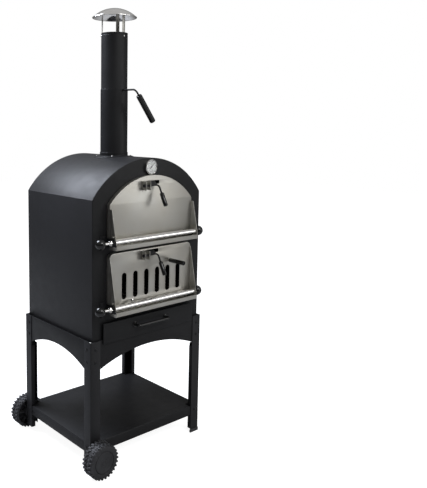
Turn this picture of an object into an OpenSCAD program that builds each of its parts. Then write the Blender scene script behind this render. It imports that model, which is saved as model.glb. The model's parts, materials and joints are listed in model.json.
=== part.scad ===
// Wood fired pizza oven: a sheet steel oven body with two fold-down doors, an ash
// drawer and a chimney, carried on a four-legged stand with two wheels.
// X runs along the front, -Y is the front and Z is up, with the floor at zero.

/* [Oven body] */
// Width of the oven body
body_w = 494; // [484:2:500]
// Depth of the oven body, from front panel to back panel
body_d = 392; // [380:2:400]
// Height of the body's underside above the floor
body_z = 452; // [440:2:456]
// Height of the eaves, where the arched roof starts
eave_z = 924; // [920:2:930]
// Height of the top of the arched roof
ridge_z = 1053; // [1048:1:1056]
// Thickness of the body's sheet steel
sheet = 1.5; // [1:0.1:2]

/* [Stand] */
// Width of the stand over the legs
stand_w = 516; // [512:2:524]
// Depth of the stand over the legs
stand_d = 407; // [404:1:412]
// Width of a leg's front flange
leg_front = 40; // [36:1:42]
// Width of a leg's side flange
leg_side = 37; // [32:1:42]
// Thickness of the leg steel
leg_t = 2; // [1.5:0.5:3]
// Depth of an apron where it meets a leg
apron_h = 100; // [90:2:110]
// Rise of the arch cut in the underside of an apron
apron_rise = 45; // [30:1:50]
// Height of the bottom shelf's top face
shelf_z = 105; // [90:1:130]
// Height of the shelf's folded edge
shelf_lip = 36; // [20:1:40]

/* [Wheels] */
// Diameter of a wheel
wheel_d = 120; // [110:2:130]
// Width of a wheel
wheel_w = 46; // [40:1:50]

/* [Doors] */
// Width of each door
door_w = 376; // [370:2:380]
// Height of the upper door's hinge rod
upper_rod_z = 785.5; // [782:0.5:788]
// Height of the lower door's hinge rod
lower_rod_z = 564.5; // [562:0.5:566]
// Distance of each hinge rod in front of the front panel
rod_reach = 35; // [34:0.5:38]
// Distance of each door's face in front of the front panel
door_proud = 16; // [15.5:0.5:17]
// Diameter of the rail tube in front of each door
rail_d = 21; // [18:0.5:22]
// Diameter of the knob on each end of a hinge rod
knob_d = 35; // [30:1:36]
// Length of an air slot in the lower door
slot_l = 91; // [70:1:95]
// Width of an air slot in the lower door
slot_w = 20; // [12:1:21]

/* [Ash drawer] */
// Width of the drawer's front
drawer_w = 416; // [410:2:420]
// Height of the drawer's front
drawer_h = 70; // [66:1:72]
// Length of the tray behind the drawer's front
tray_l = 350; // [250:5:370]

/* [Chimney] */
// Outer diameter of the lower chimney pipe
pipe_d = 98.6; // [90:0.2:104]
// Height of the top of the lower pipe
pipe_joint_z = 1290; // [1280:1:1300]
// Height of the top of the upper pipe
pipe_top_z = 1488; // [1470:1:1500]
// Diameter of the rain cap's rim
cap_d = 160; // [140:2:170]
// Height of the top of the rain cap, which is the oven's full height
cap_top_z = 1575; // [1566:1:1580]
// Lean of the damper lever from hanging, at rest
lever_lean = 37; // [10:1:50]

/* [Hidden] */
$fn = 48;

black = "#1d1e20";
steel = "#a9aaa4";
bright = "#c9c9c6";
plastic = "#141414";
clay = "#b79b78";

// Clearance between pieces that lie close together
gap = 0.3;
// Radial clearance of a running fit
run_fit = 0.06;

// Front planes, which all face -Y
front_y = -body_d / 2;
door_y = front_y - door_proud;
hinge_y = front_y - rod_reach;
leg_y = -stand_d / 2;

// Sheet steel of the doors and the drawer
door_t = 1.5;
tray_t = 1.2;

// Arch of the roof, through both eaves and the ridge
roof_rise = ridge_z - eave_z;
roof_r = (pow(body_w / 2, 2) + pow(roof_rise, 2)) / (2 * roof_rise);
arch_z = ridge_z - roof_r;

// Wheels sit outside the two left legs, with their axles through the front flanges
wheel_x = -stand_w / 2 + 19.5;
wheel_z = wheel_d / 2;
wheel_inner_y = stand_d / 2 + 5.5;
wheel_outer_y = wheel_inner_y + wheel_w;
axle_r = 5;
left_leg_z = 20;

// Legs and aprons end this high, a little above the body's underside
stand_top = body_z + 4;

// Ledge folded along the top of each apron, and its distance from the apron's ends
ledge = 20;
ledge_end = 22;

// Lips folded inwards along both edges of a leg, below the aprons and clear of the shelf
leg_lip = 16;
lip_gap = 3;
leg_lip_top = stand_top - apron_h - 16;

// Cut-outs in the shelf's corners
notch = [40, 24];

// Stand bolts: head height, radii, place on the legs' two flanges, and heights
bolt_head = 2.6;
bolt_head_r = 6;
bolt_r = 3;
bolt_in = [20, 24];
bolt_heights = [body_z - 22, body_z - 66, shelf_z - 16];

// Foot caps on the two right legs
cap_t = 1.5;
cap_h = 12;
cap_floor = 3;

// Hinge rods, brackets and knobs. The brackets' noses end at stop_top, just under the
// stop pins of a fully open door.
rod_r = 5;
bracket_x = 191;
bracket_t = 3;
knob_r = knob_d / 2;
knob_left_x = -241;
knob_right_x = 206;
knob_flat = 11;
tray_drop = 25;
lip_h = 14.5;
stop_y = -3;
stop_z = 19;
stop_r = 2.5;
stop_top = -4.2;
rod_heights = [upper_rod_z, lower_rod_z];

// Upper door and its doorway, arcs about the roof arch's centre. The doors lap the panel beside
// the doorways by door_lap, and each doorway starts at sill above its hinge rod.
upper_r = 243;
doorway_inset = 10;
door_lap = 20;
sill = 15;
upper_cheek_z = 893;
upper_latch_z = 962;

// Lower door and its doorway
lower_top_z = 744;
lower_corner_r = 17;
lower_cheek_z = 728;
lower_latch_z = 724;
slot_pitch = 50;
slot_count = 6;
slot_z = 583;
vent_z = 692;
vent_knob_x = 78;
vent_knob_reach = 78;
vent_screw_x = -86;
vent_screw_z = 573.5;
vent_travel = 22;

// Latches
latch_reach = 14;
latch_rod_r = 3.5;
latch_lean = 28;
latch_crank_x = 14;
latch_lever_l = 66;
latch_grip_l = 49;
latch_grip_r = 7.5;
latch_grip_end = 12;
ear_x = [-50, -31];
ear_t = 2;

// Drawer
drawer_y = front_y - 12;
drawer_z = body_z - 10;
tray_z = 459.2;
tray_half = 196;
tray_h = 40;

// Chimney
pipe_r = pipe_d / 2;
pipe_t = 1.3;
upper_pipe_r = pipe_r - pipe_t - gap;
damper_z = pipe_joint_z - 4;
damper_rod_r = 3.5;
lever_reach = 117;
lever_l = 125;
lever_grip_l = 114;
lever_grip_r = 10.5;
lever_grip_end = 14;
cap_rise = 33;
cap_rim_z = cap_top_z - cap_rise;
cap_r = (pow(cap_d / 2, 2) + pow(cap_rise, 2)) / (2 * cap_rise);
cap_t_steel = 1;
strap_angles = [156, 276, 36];
flange_screw_at = 61;

// Wall rails' tops, which carry the fire grate and the stone's rack
grate_z = 564;
rack_z = 786;
stone_z = rack_z + 7.5;

// Thermometer
gauge_z = 1022;
gauge_r = 26;
gauge_depth = 10;
needle_angle = 45;

// The model's box is centred on the origin in X and Y
reach_left = wheel_x - wheel_d / 2;
reach_right = stand_w / 2 + bolt_head;
reach_front = door_y - vent_knob_reach;
reach_back = wheel_outer_y;
origin_x = -(reach_left + reach_right) / 2;
origin_y = -(reach_front + reach_back) / 2;

// ---------- helpers ----------

// Moves a piece from the oven's own centre to the model's origin
module at_origin() translate([origin_x, origin_y, 0]) children();

// Sheet of thickness t in a plane across Y: the 2D shape's axes become X and Z
module across_y(y, t) translate([0, y + t, 0]) rotate([90, 0, 0]) linear_extrude(t) children();

// Sheet of thickness t in a plane across X: the 2D shape's axes become Y and Z
module across_x(x, t) translate([x, 0, 0]) rotate([90, 0, 90]) linear_extrude(t) children();

module box(x, y, z) translate([x[0], y[0], z[0]]) cube([x[1] - x[0], y[1] - y[0], z[1] - z[0]]);

module rod_x(x0, x1, r) translate([x0, 0, 0]) rotate([0, 90, 0]) cylinder(h = x1 - x0, r = r);

module rod_y(y0, y1, r) translate([0, y0, 0]) rotate([-90, 0, 0]) cylinder(h = y1 - y0, r = r);

// Outline with an arched top: straight sides up to a circle of radius r about arch_z
module arched(half_w, r, z0) {
    spring = arch_z + sqrt(r * r - half_w * half_w);
    translate([-half_w, z0]) square([2 * half_w, spring - z0]);
    intersection() {
        translate([-half_w, max(z0, arch_z)]) square([2 * half_w, r + arch_z - max(z0, arch_z)]);
        translate([0, arch_z]) circle(r, $fn = 180);
    }
}

// Rectangle with its two top corners rounded
module round_top(half_w, z0, z1, r) {
    translate([-half_w, z0]) square([2 * half_w, z1 - r - z0]);
    translate([-half_w + r, z0]) square([2 * (half_w - r), z1 - z0]);
    for (side = [-1, 1])
        translate([side * (half_w - r), z1 - r]) circle(r);
}

// Upright slot with round ends
module upright_slot(x, z0, z1, w) {
    translate([x - w / 2, z0 + w / 2]) square([w, z1 - z0 - w]);
    for (z = [z0 + w / 2, z1 - w / 2])
        translate([x, z]) circle(w / 2);
}

// Level slot with round ends
module level_slot(x0, x1, z, w) {
    translate([x0, z - w / 2]) square([x1 - x0, w]);
    for (x = [x0, x1])
        translate([x, z]) circle(w / 2);
}

// Hexagonal prism along +Z, measured across its flats
module hex(flats, h) cylinder(h = h, r = flats / sqrt(3), $fn = 6);

// ---------- stand ----------

// Places its children at each bolt of every leg, with +Y pointing into the stand
module at_bolts() {
    for (mx = [0, 1], my = [0, 1])
        mirror([mx, 0, 0]) mirror([0, my, 0])
            for (z = bolt_heights) {
                translate([stand_w / 2 - bolt_in[0], leg_y, z]) children();
                translate([stand_w / 2, leg_y + bolt_in[1], z]) rotate([0, 0, 90]) children();
            }
}

module bolt_holes() at_bolts() rod_y(-1, 8, bolt_r + 0.1);

// Angle section without its holes, built for the front right corner
module angle_bar(z0, z1) {
    x1 = stand_w / 2;
    box([x1 - leg_front, x1], [leg_y, leg_y + leg_t], [z0, z1]);
    box([x1 - leg_t, x1], [leg_y, leg_y + leg_side], [z0, z1]);
}

// Lips of a leg that starts at z0, cut away where the shelf passes
module leg_lips(z0) {
    x1 = stand_w / 2;
    y1 = leg_y + leg_side;
    for (z = [[z0, shelf_z - shelf_lip - lip_gap], [shelf_z + lip_gap, leg_lip_top]]) {
        box([x1 - leg_front, x1 - leg_front + leg_t], [leg_y, leg_y + leg_lip], z);
        box([x1 - leg_lip, x1], [y1 - leg_t, y1], z);
    }
}

module leg(z0, z1) {
    difference() {
        union() {
            angle_bar(z0, z1);
            leg_lips(max(z0, cap_h + lip_gap));
        }
        bolt_holes();
    }
}

module left_leg() {
    difference() {
        mirror([1, 0, 0]) leg(left_leg_z, stand_top);
        translate([wheel_x, 0, wheel_z]) rod_y(leg_y - 1, leg_y + leg_t + 1, axle_r + 0.05);
    }
}

module leg_front_left() at_origin() color(black) left_leg();

module leg_back_left() at_origin() color(black) mirror([0, 1, 0]) left_leg();

module leg_front_right() at_origin() color(black) leg(cap_floor, stand_top);

module leg_back_right() at_origin() color(black) mirror([0, 1, 0]) leg(cap_floor, stand_top);

// Apron outline with an arched underside: span between the legs, full width at the top
module apron_outline(full, span, rise) {
    z0 = stand_top - apron_h;
    arc_r = (pow(span / 2, 2) + rise * rise) / (2 * rise);
    difference() {
        translate([-full / 2, z0]) square([full, apron_h]);
        translate([0, z0 + rise - arc_r]) circle(arc_r, $fn = 240);
    }
}

// Apron with a folded ledge along its top, on which the oven body rests
module apron(full, span, rise, y) {
    across_y(y, sheet) apron_outline(full, span, rise);
    box([-full / 2 + ledge_end, full / 2 - ledge_end], [y, y + ledge], [body_z - sheet, body_z]);
}

module front_apron() {
    full = stand_w - 2 * leg_t - 2 * gap;
    difference() {
        apron(full, stand_w - 2 * leg_front + 4, apron_rise, leg_y + leg_t);
        bolt_holes();
    }
}

module side_apron() {
    full = stand_d - 2 * leg_t - 2 * sheet - 2 * gap;
    difference() {
        rotate([0, 0, 90])
            apron(full, stand_d - 2 * leg_side, apron_rise - 3, -stand_w / 2 + leg_t);
        bolt_holes();
    }
}

module apron_front() at_origin() color(black) front_apron();

module apron_back() at_origin() color(black) mirror([0, 1, 0]) front_apron();

module apron_right() at_origin() color(black) side_apron();

module apron_left() at_origin() color(black) mirror([1, 0, 0]) side_apron();

module bottom_shelf() {
    half_x = stand_w / 2 - leg_t - gap;
    half_y = stand_d / 2 - leg_t - gap;
    at_origin() color(black) difference() {
        box([-half_x, half_x], [-half_y, half_y], [shelf_z - shelf_lip, shelf_z]);
        box([-half_x + sheet, half_x - sheet], [-half_y + sheet, half_y - sheet],
            [shelf_z - shelf_lip - 1, shelf_z - sheet]);
        for (x = [-1, 1], y = [-1, 1])
            translate([x * half_x, y * half_y, shelf_z])
                cube([2 * (notch[0] + sheet), 2 * (notch[1] + sheet), 2 * sheet + 1], center = true);
        bolt_holes();
    }
}

// Moulded cap over the foot of a right leg, with a pocket that follows the angle
module foot_cap() {
    x1 = stand_w / 2;
    difference() {
        union() {
            box([x1 - leg_front - cap_t, x1 + cap_t], [leg_y - cap_t, leg_y + leg_t + cap_t], [0, cap_h]);
            box([x1 - leg_t - cap_t, x1 + cap_t], [leg_y - cap_t, leg_y + leg_side + cap_t], [0, cap_h]);
        }
        angle_bar(cap_floor, cap_h + 1);
    }
}

module foot_caps() at_origin() color(plastic) {
    foot_cap();
    mirror([0, 1, 0]) foot_cap();
}

// Bolt along +Y: a low round head outside, and a nut inside the sheets that it clamps
module stand_bolt() {
    grip = leg_t + sheet + gap;
    rod_y(-bolt_head, 0, bolt_head_r);
    rod_y(0, grip + 7, bolt_r);
    translate([0, grip, 0]) rotate([-90, 0, 0]) hex(10, 5);
}

module stand_bolts() at_origin() color(black) at_bolts() stand_bolt();

// Shouldered wheel bolt with its spacer and two nuts, built for the front wheel
module wheel_axle() {
    translate([wheel_x, 0, wheel_z]) {
        rod_y(-wheel_outer_y + 12, leg_y + leg_t + 12, axle_r);
        rod_y(-wheel_outer_y + 7, -wheel_outer_y + 12, 9);
        rod_y(-wheel_inner_y + gap, leg_y, 9);
        translate([0, leg_y + leg_t, 0]) rotate([-90, 0, 0]) hex(17, 7);
    }
}

module wheel_axles() at_origin() color(bright) {
    wheel_axle();
    mirror([0, 1, 0]) wheel_axle();
}

// Moulded wheel turned about Z, its outer side at z = 0
module wheel_profile() {
    r = wheel_d / 2;
    shoulder = 4;
    pocket = 30;
    rotate_extrude($fn = 96) difference() {
        polygon([
            [0, 0], [r - shoulder - 2, 0], [r, shoulder], [r, wheel_w - shoulder],
            [r - shoulder, wheel_w], [0, wheel_w]
        ]);
        translate([-1, -1]) square([1 + axle_r + run_fit, wheel_w + 2]);
        translate([-1, -1]) square([39, 4]);
        translate([-1, -1]) square([13, 13.3]);
        translate([18, wheel_w - pocket]) square([32, pocket + 1]);
    }
}

module wheel() translate([wheel_x, -wheel_outer_y, wheel_z]) rotate([-90, 0, 0]) wheel_profile();

module wheel_front() at_origin() color(plastic) wheel();

module wheel_back() at_origin() color(plastic) mirror([0, 1, 0]) wheel();

// Snap-in disc that closes the wheel's outer side
module hub_cap() {
    translate([wheel_x, -wheel_outer_y, wheel_z]) rotate([-90, 0, 0])
        rotate_extrude($fn = 96) polygon([[0, 0.2], [35, 0.2], [36.5, 1.4], [36.5, 3], [0, 3]]);
}

module hub_cap_front() at_origin() color(plastic) hub_cap();

module hub_cap_back() at_origin() color(plastic) mirror([0, 1, 0]) hub_cap();

// ---------- oven body ----------

module doorway_upper() arched(door_w / 2 - door_lap, upper_r - doorway_inset, upper_rod_z + sill);

module doorway_lower() translate([-door_w / 2 + door_lap, lower_rod_z + sill])
    square([door_w - 2 * door_lap, lower_top_z - 4 - lower_rod_z - sill]);

module panel_outline() arched(body_w / 2 - sheet - 0.1, roof_r - sheet - 0.1, body_z);

module front_panel() {
    at_origin() color(black) across_y(front_y, sheet) difference() {
        panel_outline();
        doorway_upper();
        doorway_lower();
        translate([-tray_half - 2, tray_z - 2]) square([2 * tray_half + 4, tray_h + 5]);
        translate([0, gauge_z]) circle(5);
    }
}

module back_panel() at_origin() color(black) across_y(-front_y - sheet, sheet) panel_outline();

module side_wall() box([body_w / 2 - sheet, body_w / 2], [front_y, -front_y], [body_z, eave_z]);

module right_wall() at_origin() color(black) side_wall();

module left_wall() at_origin() color(black) mirror([1, 0, 0]) side_wall();

// Curved sheet between radii r0 and r1 about the roof's axis
module roof_shell(r0, r1, y0, y1, z0) {
    across_y(y0, y1 - y0) intersection() {
        difference() {
            translate([0, arch_z]) circle(r1, $fn = 240);
            translate([0, arch_z]) circle(r0, $fn = 240);
        }
        translate([-body_w, z0]) square([2 * body_w, 2 * roof_rise]);
    }
}

module roof() {
    at_origin() color(black) difference() {
        roof_shell(roof_r - sheet, roof_r, front_y, -front_y, eave_z);
        translate([0, 0, ridge_z - 40]) cylinder(h = 60, r = pipe_r + gap, $fn = 96);
    }
}

module floor_plate() {
    half = body_w / 2 - sheet - 0.1;
    at_origin() color(black)
        box([-half, half], [front_y + sheet + 0.1, -front_y - sheet - 0.1], [body_z, body_z + sheet]);
}

// Angle rail on the right wall, its level flange's top at height z
module wall_rail(z) {
    x1 = body_w / 2 - sheet;
    box([x1 - sheet, x1], [front_y + 12, -front_y - 12], [z - 16, z]);
    box([x1 - 18, x1], [front_y + 12, -front_y - 12], [z - sheet, z]);
}

module shelf_rails() at_origin() color(black)
    for (side = [0, 1], z = [grate_z, rack_z])
        mirror([side, 0, 0]) wall_rail(z);

module drawer_rail() {
    x0 = tray_half + 2;
    box([x0, x0 + sheet], [front_y + 4, 160], [body_z + sheet, body_z + 22]);
    box([x0 - 12, x0 + sheet], [front_y + 4, 160], [tray_z - 0.2 - sheet, tray_z - 0.2]);
}

module drawer_rails() at_origin() color(black) {
    drawer_rail();
    mirror([1, 0, 0]) drawer_rail();
}

// Grate of flat bars across a frame of square bar
module fire_grate() {
    half_x = body_w / 2 - 8;
    half_y = body_d / 2 - 14;
    bar = 8;
    bars = 15;
    pitch = 2 * (half_x - bar) / (bars + 1);
    at_origin() color("#3a3a3a") {
        difference() {
            box([-half_x, half_x], [-half_y, half_y], [grate_z, grate_z + bar]);
            box([-half_x + bar, half_x - bar], [-half_y + bar, half_y - bar],
                [grate_z - 1, grate_z + bar + 1]);
        }
        for (i = [1 : bars])
            translate([-half_x + bar + i * pitch, 0, 0])
                box([-3, 3], [-half_y + 1, half_y - 1], [grate_z + 1, grate_z + bar - 1]);
    }
}

// Wire rack that carries the stone: thin wires welded across two thick ones
module stone_rack() {
    half_x = body_w / 2 - 8;
    half_y = 165;
    thick_r = 3.5;
    thin_r = 2.5;
    wires = 9;
    at_origin() color(steel) {
        for (y = [-half_y, half_y])
            translate([0, y, rack_z + thick_r]) rod_x(-half_x, half_x, thick_r);
        for (i = [0 : wires - 1])
            translate([-half_x + 8 + i * (2 * half_x - 16) / (wires - 1), 0, stone_z - thin_r])
                rod_y(-half_y - 6, half_y + 6, thin_r);
    }
}

module pizza_stone() {
    half = 160;
    corner = 12;
    at_origin() color(clay) translate([0, 0, stone_z]) linear_extrude(14) {
        square([2 * half, 2 * half - 2 * corner], center = true);
        square([2 * half - 2 * corner, 2 * half], center = true);
        for (x = [-1, 1], y = [-1, 1])
            translate([x * (half - corner), y * (half - corner)]) circle(corner);
    }
}

// ---------- ash drawer ----------

module ash_tray() {
    y0 = drawer_y + door_t;
    at_origin() color("#3a3a3a") difference() {
        box([-tray_half, tray_half], [y0, y0 + tray_l], [tray_z, tray_z + tray_h]);
        box([-tray_half + tray_t, tray_half - tray_t], [y0 + tray_t, y0 + tray_l - tray_t],
            [tray_z + tray_t, tray_z + tray_h + 1]);
    }
}

module drawer_front() {
    half = drawer_w / 2;
    at_origin() color(black) difference() {
        box([-half, half], [drawer_y, drawer_y + 5], [drawer_z, drawer_z + drawer_h]);
        box([-half + door_t, half - door_t], [drawer_y + door_t, drawer_y + 6],
            [drawer_z + door_t, drawer_z + drawer_h - door_t]);
    }
}

// Bow handle: a bar on two posts with round feet
module drawer_handle() {
    half = 71;
    reach = 21;
    at_origin() color(plastic) translate([0, drawer_y, drawer_z + 43]) {
        translate([0, -reach, 0]) rod_x(-half, half, 5);
        for (side = [-1, 1]) translate([side * half, 0, 0]) {
            translate([0, -reach, 0]) sphere(5);
            rod_y(-reach, 0, 5);
            rod_y(-2.5, 0, 10);
        }
    }
}

// ---------- chimney ----------

module pipe(r, t, z0, z1) {
    difference() {
        translate([0, 0, z0]) cylinder(h = z1 - z0, r = r, $fn = 96);
        translate([0, 0, z0 - 1]) cylinder(h = z1 - z0 + 2, r = r - t, $fn = 96);
        translate([0, 0, damper_z]) rod_y(-r - 1, r + 1, damper_rod_r + run_fit);
    }
}

module lower_pipe() at_origin() color(black) pipe(pipe_r, pipe_t, ridge_z - 12, pipe_joint_z);

module upper_pipe() at_origin() color(black)
    pipe(upper_pipe_r, pipe_t, pipe_joint_z - 34, pipe_top_z);

// Round saddle flange that follows the roof, with a collar round the pipe
module flue_flange() {
    reach = 72;
    at_origin() color(black) {
        difference() {
            intersection() {
                roof_shell(roof_r + 0.05, roof_r + 2, -reach, reach, eave_z);
                translate([0, 0, eave_z]) cylinder(h = 2 * roof_rise, r = reach, $fn = 96);
            }
            translate([0, 0, eave_z]) cylinder(h = 2 * roof_rise, r = pipe_r + gap, $fn = 96);
        }
        difference() {
            translate([0, 0, ridge_z - 7]) cylinder(h = 18.5, r = pipe_r + gap + 1.5, $fn = 96);
            translate([0, 0, ridge_z - 8]) cylinder(h = 21, r = pipe_r + gap, $fn = 96);
            translate([0, body_d / 2, arch_z]) rotate([90, 0, 0])
                cylinder(h = body_d, r = roof_r + 0.05, $fn = 240);
        }
    }
}

// Shallow dome of sheet steel with a rolled rim
module cap_dome() {
    at_origin() color(bright) rotate_extrude($fn = 96) {
        intersection() {
            difference() {
                translate([0, cap_top_z - cap_r]) circle(cap_r, $fn = 360);
                translate([0, cap_top_z - cap_r]) circle(cap_r - cap_t_steel, $fn = 360);
            }
            translate([0, cap_rim_z]) square([cap_d / 2, cap_rise]);
        }
        translate([cap_d / 2 - 1.6, cap_rim_z + 0.6]) circle(1.6);
    }
}

// Flat legs from inside the top of the pipe up to the dome
module cap_straps() {
    half_w = 6.5;
    r0 = sqrt(pow(upper_pipe_r - pipe_t, 2) - half_w * half_w) - sheet - 0.1;
    at_origin() color(steel) for (a = strap_angles) rotate([0, 0, a]) intersection() {
        box([r0, r0 + sheet], [-half_w, half_w], [pipe_top_z - 24, cap_top_z]);
        translate([0, 0, cap_top_z - cap_r]) sphere(cap_r - cap_t_steel - gap, $fn = 180);
    }
}

module chimney_screws() {
    at_origin() color(bright) {
        for (a = strap_angles) rotate([0, 0, a])
            translate([0, 0, pipe_top_z - 12]) rod_x(upper_pipe_r, upper_pipe_r + 2.4, 3.4);
        for (a = [45 : 90 : 315]) {
            x = flange_screw_at * cos(a);
            translate([0, flange_screw_at * sin(a), arch_z]) rotate([0, asin(x / (roof_r + 2)), 0])
                translate([0, 0, roof_r + 2.1]) cylinder(h = 2.5, r = 3.6);
        }
    }
}

// Turns a piece about the damper's axis by the lever's lean, its X towards the front
module at_damper() translate([0, 0, damper_z]) rotate([0, 0, -90]) rotate([lever_lean, 0, 0]) children();

module damper_plate() at_origin() color("#3a3a3a") at_damper() difference() {
    translate([0, damper_rod_r - 0.4, 0]) rotate([-90, 0, 0]) cylinder(h = 1.5, r = 43, $fn = 96);
    rod_x(-pipe_r, pipe_r, damper_rod_r + 0.05);
}

// Spindle through the pipe, bent down into the lever
module damper_rod() at_origin() color(black) at_damper() {
    rod_x(-pipe_r - 6, lever_reach, damper_rod_r);
    rod_x(-pipe_r - 8, -pipe_r - 4, 6);
    translate([lever_reach, 0, 0]) sphere(damper_rod_r);
    translate([lever_reach, 0, -lever_l]) cylinder(h = lever_l, r = damper_rod_r - 0.5);
}

module damper_grip() at_origin() color(plastic) at_damper() translate([lever_reach, 0, 0]) difference() {
    translate([0, 0, -lever_l - lever_grip_end]) cylinder(h = lever_grip_l, r = lever_grip_r);
    translate([0, 0, -lever_l - 1]) cylinder(h = lever_l, r = damper_rod_r - 0.5 + 0.05);
}

// ---------- thermometer ----------

module at_gauge() translate([0, front_y, gauge_z]) children();

// Turned cup with its stem through the front panel and a nut behind
module thermometer_case() at_origin() color(bright) at_gauge() {
    difference() {
        rod_y(-gauge_depth, -gap, gauge_r);
        rod_y(-gauge_depth - 1, -gauge_depth + 5.5, gauge_r - 3);
    }
    rod_y(-1, 55, 4);
    difference() {
        translate([0, sheet + gap, 0]) rotate([-90, 0, 0]) hex(14, 5);
        rod_y(0, 12, 4);
    }
}

module thermometer_dial() at_origin() color("white") at_gauge() difference() {
    rod_y(-gauge_depth + 4.2, -gauge_depth + 5.2, gauge_r - 3.2);
    rod_y(-gauge_depth, 0, 1.2 + run_fit);
}

module thermometer_needle() at_origin() color(black) at_gauge() rotate([0, needle_angle, 0]) {
    rod_y(-gauge_depth + 2.4, -gauge_depth + 3.4, 2.6);
    rod_y(-gauge_depth + 3.4, -gauge_depth + 5.2, 1.2);
    translate([0, -gauge_depth + 3.2, 0]) rotate([90, 0, 0]) linear_extrude(0.8)
        polygon([[-1.5, -7], [1.5, -7], [0.4, 19], [-0.4, 19]]);
}

module thermometer_lens() at_origin() color("#dfe8ee", 0.4) at_gauge()
    rod_y(-gauge_depth + 0.4, -gauge_depth + 1.6, gauge_r - 3.2);

// ---------- hinges ----------

// Bracket on the right side of one rod: an arm, a stop nose and a foot on the panel
module hinge_bracket() {
    boss = 12;
    nose = 21;
    difference() {
        union() {
            across_x(bracket_x, bracket_t) {
                translate([hinge_y, 0]) circle(boss);
                translate([hinge_y, -boss]) square([rod_reach, 2 * boss]);
                translate([hinge_y - nose, -boss]) square([nose, boss + stop_top]);
            }
            box([bracket_x, bracket_x + 26], [front_y - bracket_t, front_y], [-18, 18]);
        }
        translate([0, hinge_y, 0]) rod_x(bracket_x - 1, bracket_x + bracket_t + 1, rod_r + 0.05);
    }
    translate([bracket_x + 15, front_y - bracket_t, 12]) rod_y(-2, 0, 3.5);
}

module hinge_brackets() at_origin() color(black)
    for (side = [0, 1], z = rod_heights)
        mirror([side, 0, 0]) translate([0, 0, z]) hinge_bracket();

module hinge_rods() at_origin() color(bright)
    for (z = rod_heights)
        translate([0, hinge_y, z]) rod_x(knob_left_x, knob_right_x, rod_r);

// Ball knob along +X, flat where it faces the bracket and bored for the rod's end
module rod_knob() {
    difference() {
        sphere(knob_r, $fn = 64);
        translate([-knob_flat - 2 * knob_r, -knob_r, -knob_r]) cube(2 * knob_r);
        rod_x(-knob_r - 1, 0, rod_r + 0.05);
    }
}

module rod_knobs() at_origin() color(plastic)
    for (z = rod_heights) {
        translate([knob_right_x, hinge_y, z]) rod_knob();
        translate([knob_left_x, hinge_y, z]) mirror([1, 0, 0]) rod_knob();
    }

module rod_nuts() at_origin() color(bright)
    for (z = rod_heights)
        translate([-bracket_x - bracket_t - 1, hinge_y, z]) mirror([1, 0, 0]) difference() {
            union() {
                rotate([0, 90, 0]) hex(17, 8);
                rod_x(8, 13, 7);
            }
            rod_x(-1, 14, rod_r + 0.05);
        }

// ---------- doors ----------

// Cheeks, bottom tray and stop pins that both doors share. cheek_z is the cheeks' top.
module door_cheeks(axis_z, cheek_z, cheek_y) {
    half = door_w / 2;
    front = hinge_y - 17;
    for (side = [0, 1]) mirror([side, 0, 0]) {
        difference() {
            across_x(half - door_t, door_t) polygon([
                [door_y + 0.5, cheek_z], [cheek_y, cheek_z], [front, axis_z - tray_drop + lip_h],
                [front, axis_z - tray_drop], [door_y + 0.5, axis_z - tray_drop]
            ]);
            translate([0, hinge_y, axis_z]) rod_x(half - 10, half + 10, rod_r + run_fit);
        }
        translate([0, hinge_y + stop_y, axis_z + stop_z])
            rod_x(half - 0.5, bracket_x + bracket_t - 0.3, stop_r);
    }
    box([-half, half], [front, door_y + door_t], [axis_z - tray_drop, axis_z - tray_drop + door_t]);
    box([-half, half], [front, front + door_t], [axis_z - tray_drop, axis_z - tray_drop + lip_h]);
}

// Rim that runs from the door's face back to the front panel
module door_rim(z0) {
    depth = door_proud - gap;
    intersection() {
        translate([0, door_y, 0]) box([-body_w, body_w], [0, depth], [z0, ridge_z]);
        across_y(door_y, depth) children();
    }
}

// Slot through a door's face for the latch blade
module latch_slot(axis_z) translate([-25, axis_z + 2.5]) square([54, 12.5]);

module upper_outline(inset) arched(door_w / 2 - inset, upper_r - inset, upper_rod_z - tray_drop);

module upper_door() {
    at_origin() color(steel) {
        across_y(door_y, door_t) difference() {
            upper_outline(0);
            latch_slot(upper_latch_z);
        }
        door_rim(upper_rod_z) difference() {
            upper_outline(0);
            upper_outline(door_t);
        }
        door_cheeks(upper_rod_z, upper_cheek_z, door_y - 11);
    }
}

module lower_outline(inset) round_top(door_w / 2 - inset, lower_rod_z - tray_drop,
    lower_top_z - inset, lower_corner_r - inset);

module lower_door() {
    first_x = -(slot_count - 1) / 2 * slot_pitch;
    at_origin() color(steel) {
        across_y(door_y, door_t) difference() {
            lower_outline(0);
            latch_slot(lower_latch_z);
            for (i = [0 : slot_count - 1])
                upright_slot(first_x + i * slot_pitch, slot_z, slot_z + slot_l, slot_w);
            level_slot(vent_knob_x - vent_travel, vent_knob_x, vent_z, 8.6);
            level_slot(vent_screw_x - vent_travel, vent_screw_x, vent_screw_z, 6.6);
        }
        door_rim(lower_rod_z) difference() {
            lower_outline(0);
            lower_outline(door_t);
        }
        door_cheeks(lower_rod_z, lower_cheek_z, door_y - 2);
    }
}

module door_rail(z) translate([0, hinge_y, z]) difference() {
    half = door_w / 2 - door_t;
    rod_x(-half, half, rail_d / 2);
    rod_x(-half - 1, half + 1, rail_d / 2 - 1.2);
}

module upper_rail() at_origin() color(bright) door_rail(upper_rod_z);

module lower_rail() at_origin() color(bright) door_rail(lower_rod_z);

// ---------- latches, each built about its own rod ----------

module at_latch(z) translate([0, door_y - latch_reach, z]) children();

// Two ears on a base plate
module latch_bracket(z) at_latch(z) difference() {
    union() {
        box([ear_x[0], ear_x[1] + ear_t], [latch_reach - ear_t, latch_reach], [-15, 15]);
        for (x = ear_x)
            box([x, x + ear_t], [-8, latch_reach], [-15, 15]);
    }
    rod_x(ear_x[0] - 1, ear_x[1] + ear_t + 1, latch_rod_r + run_fit);
}

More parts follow.
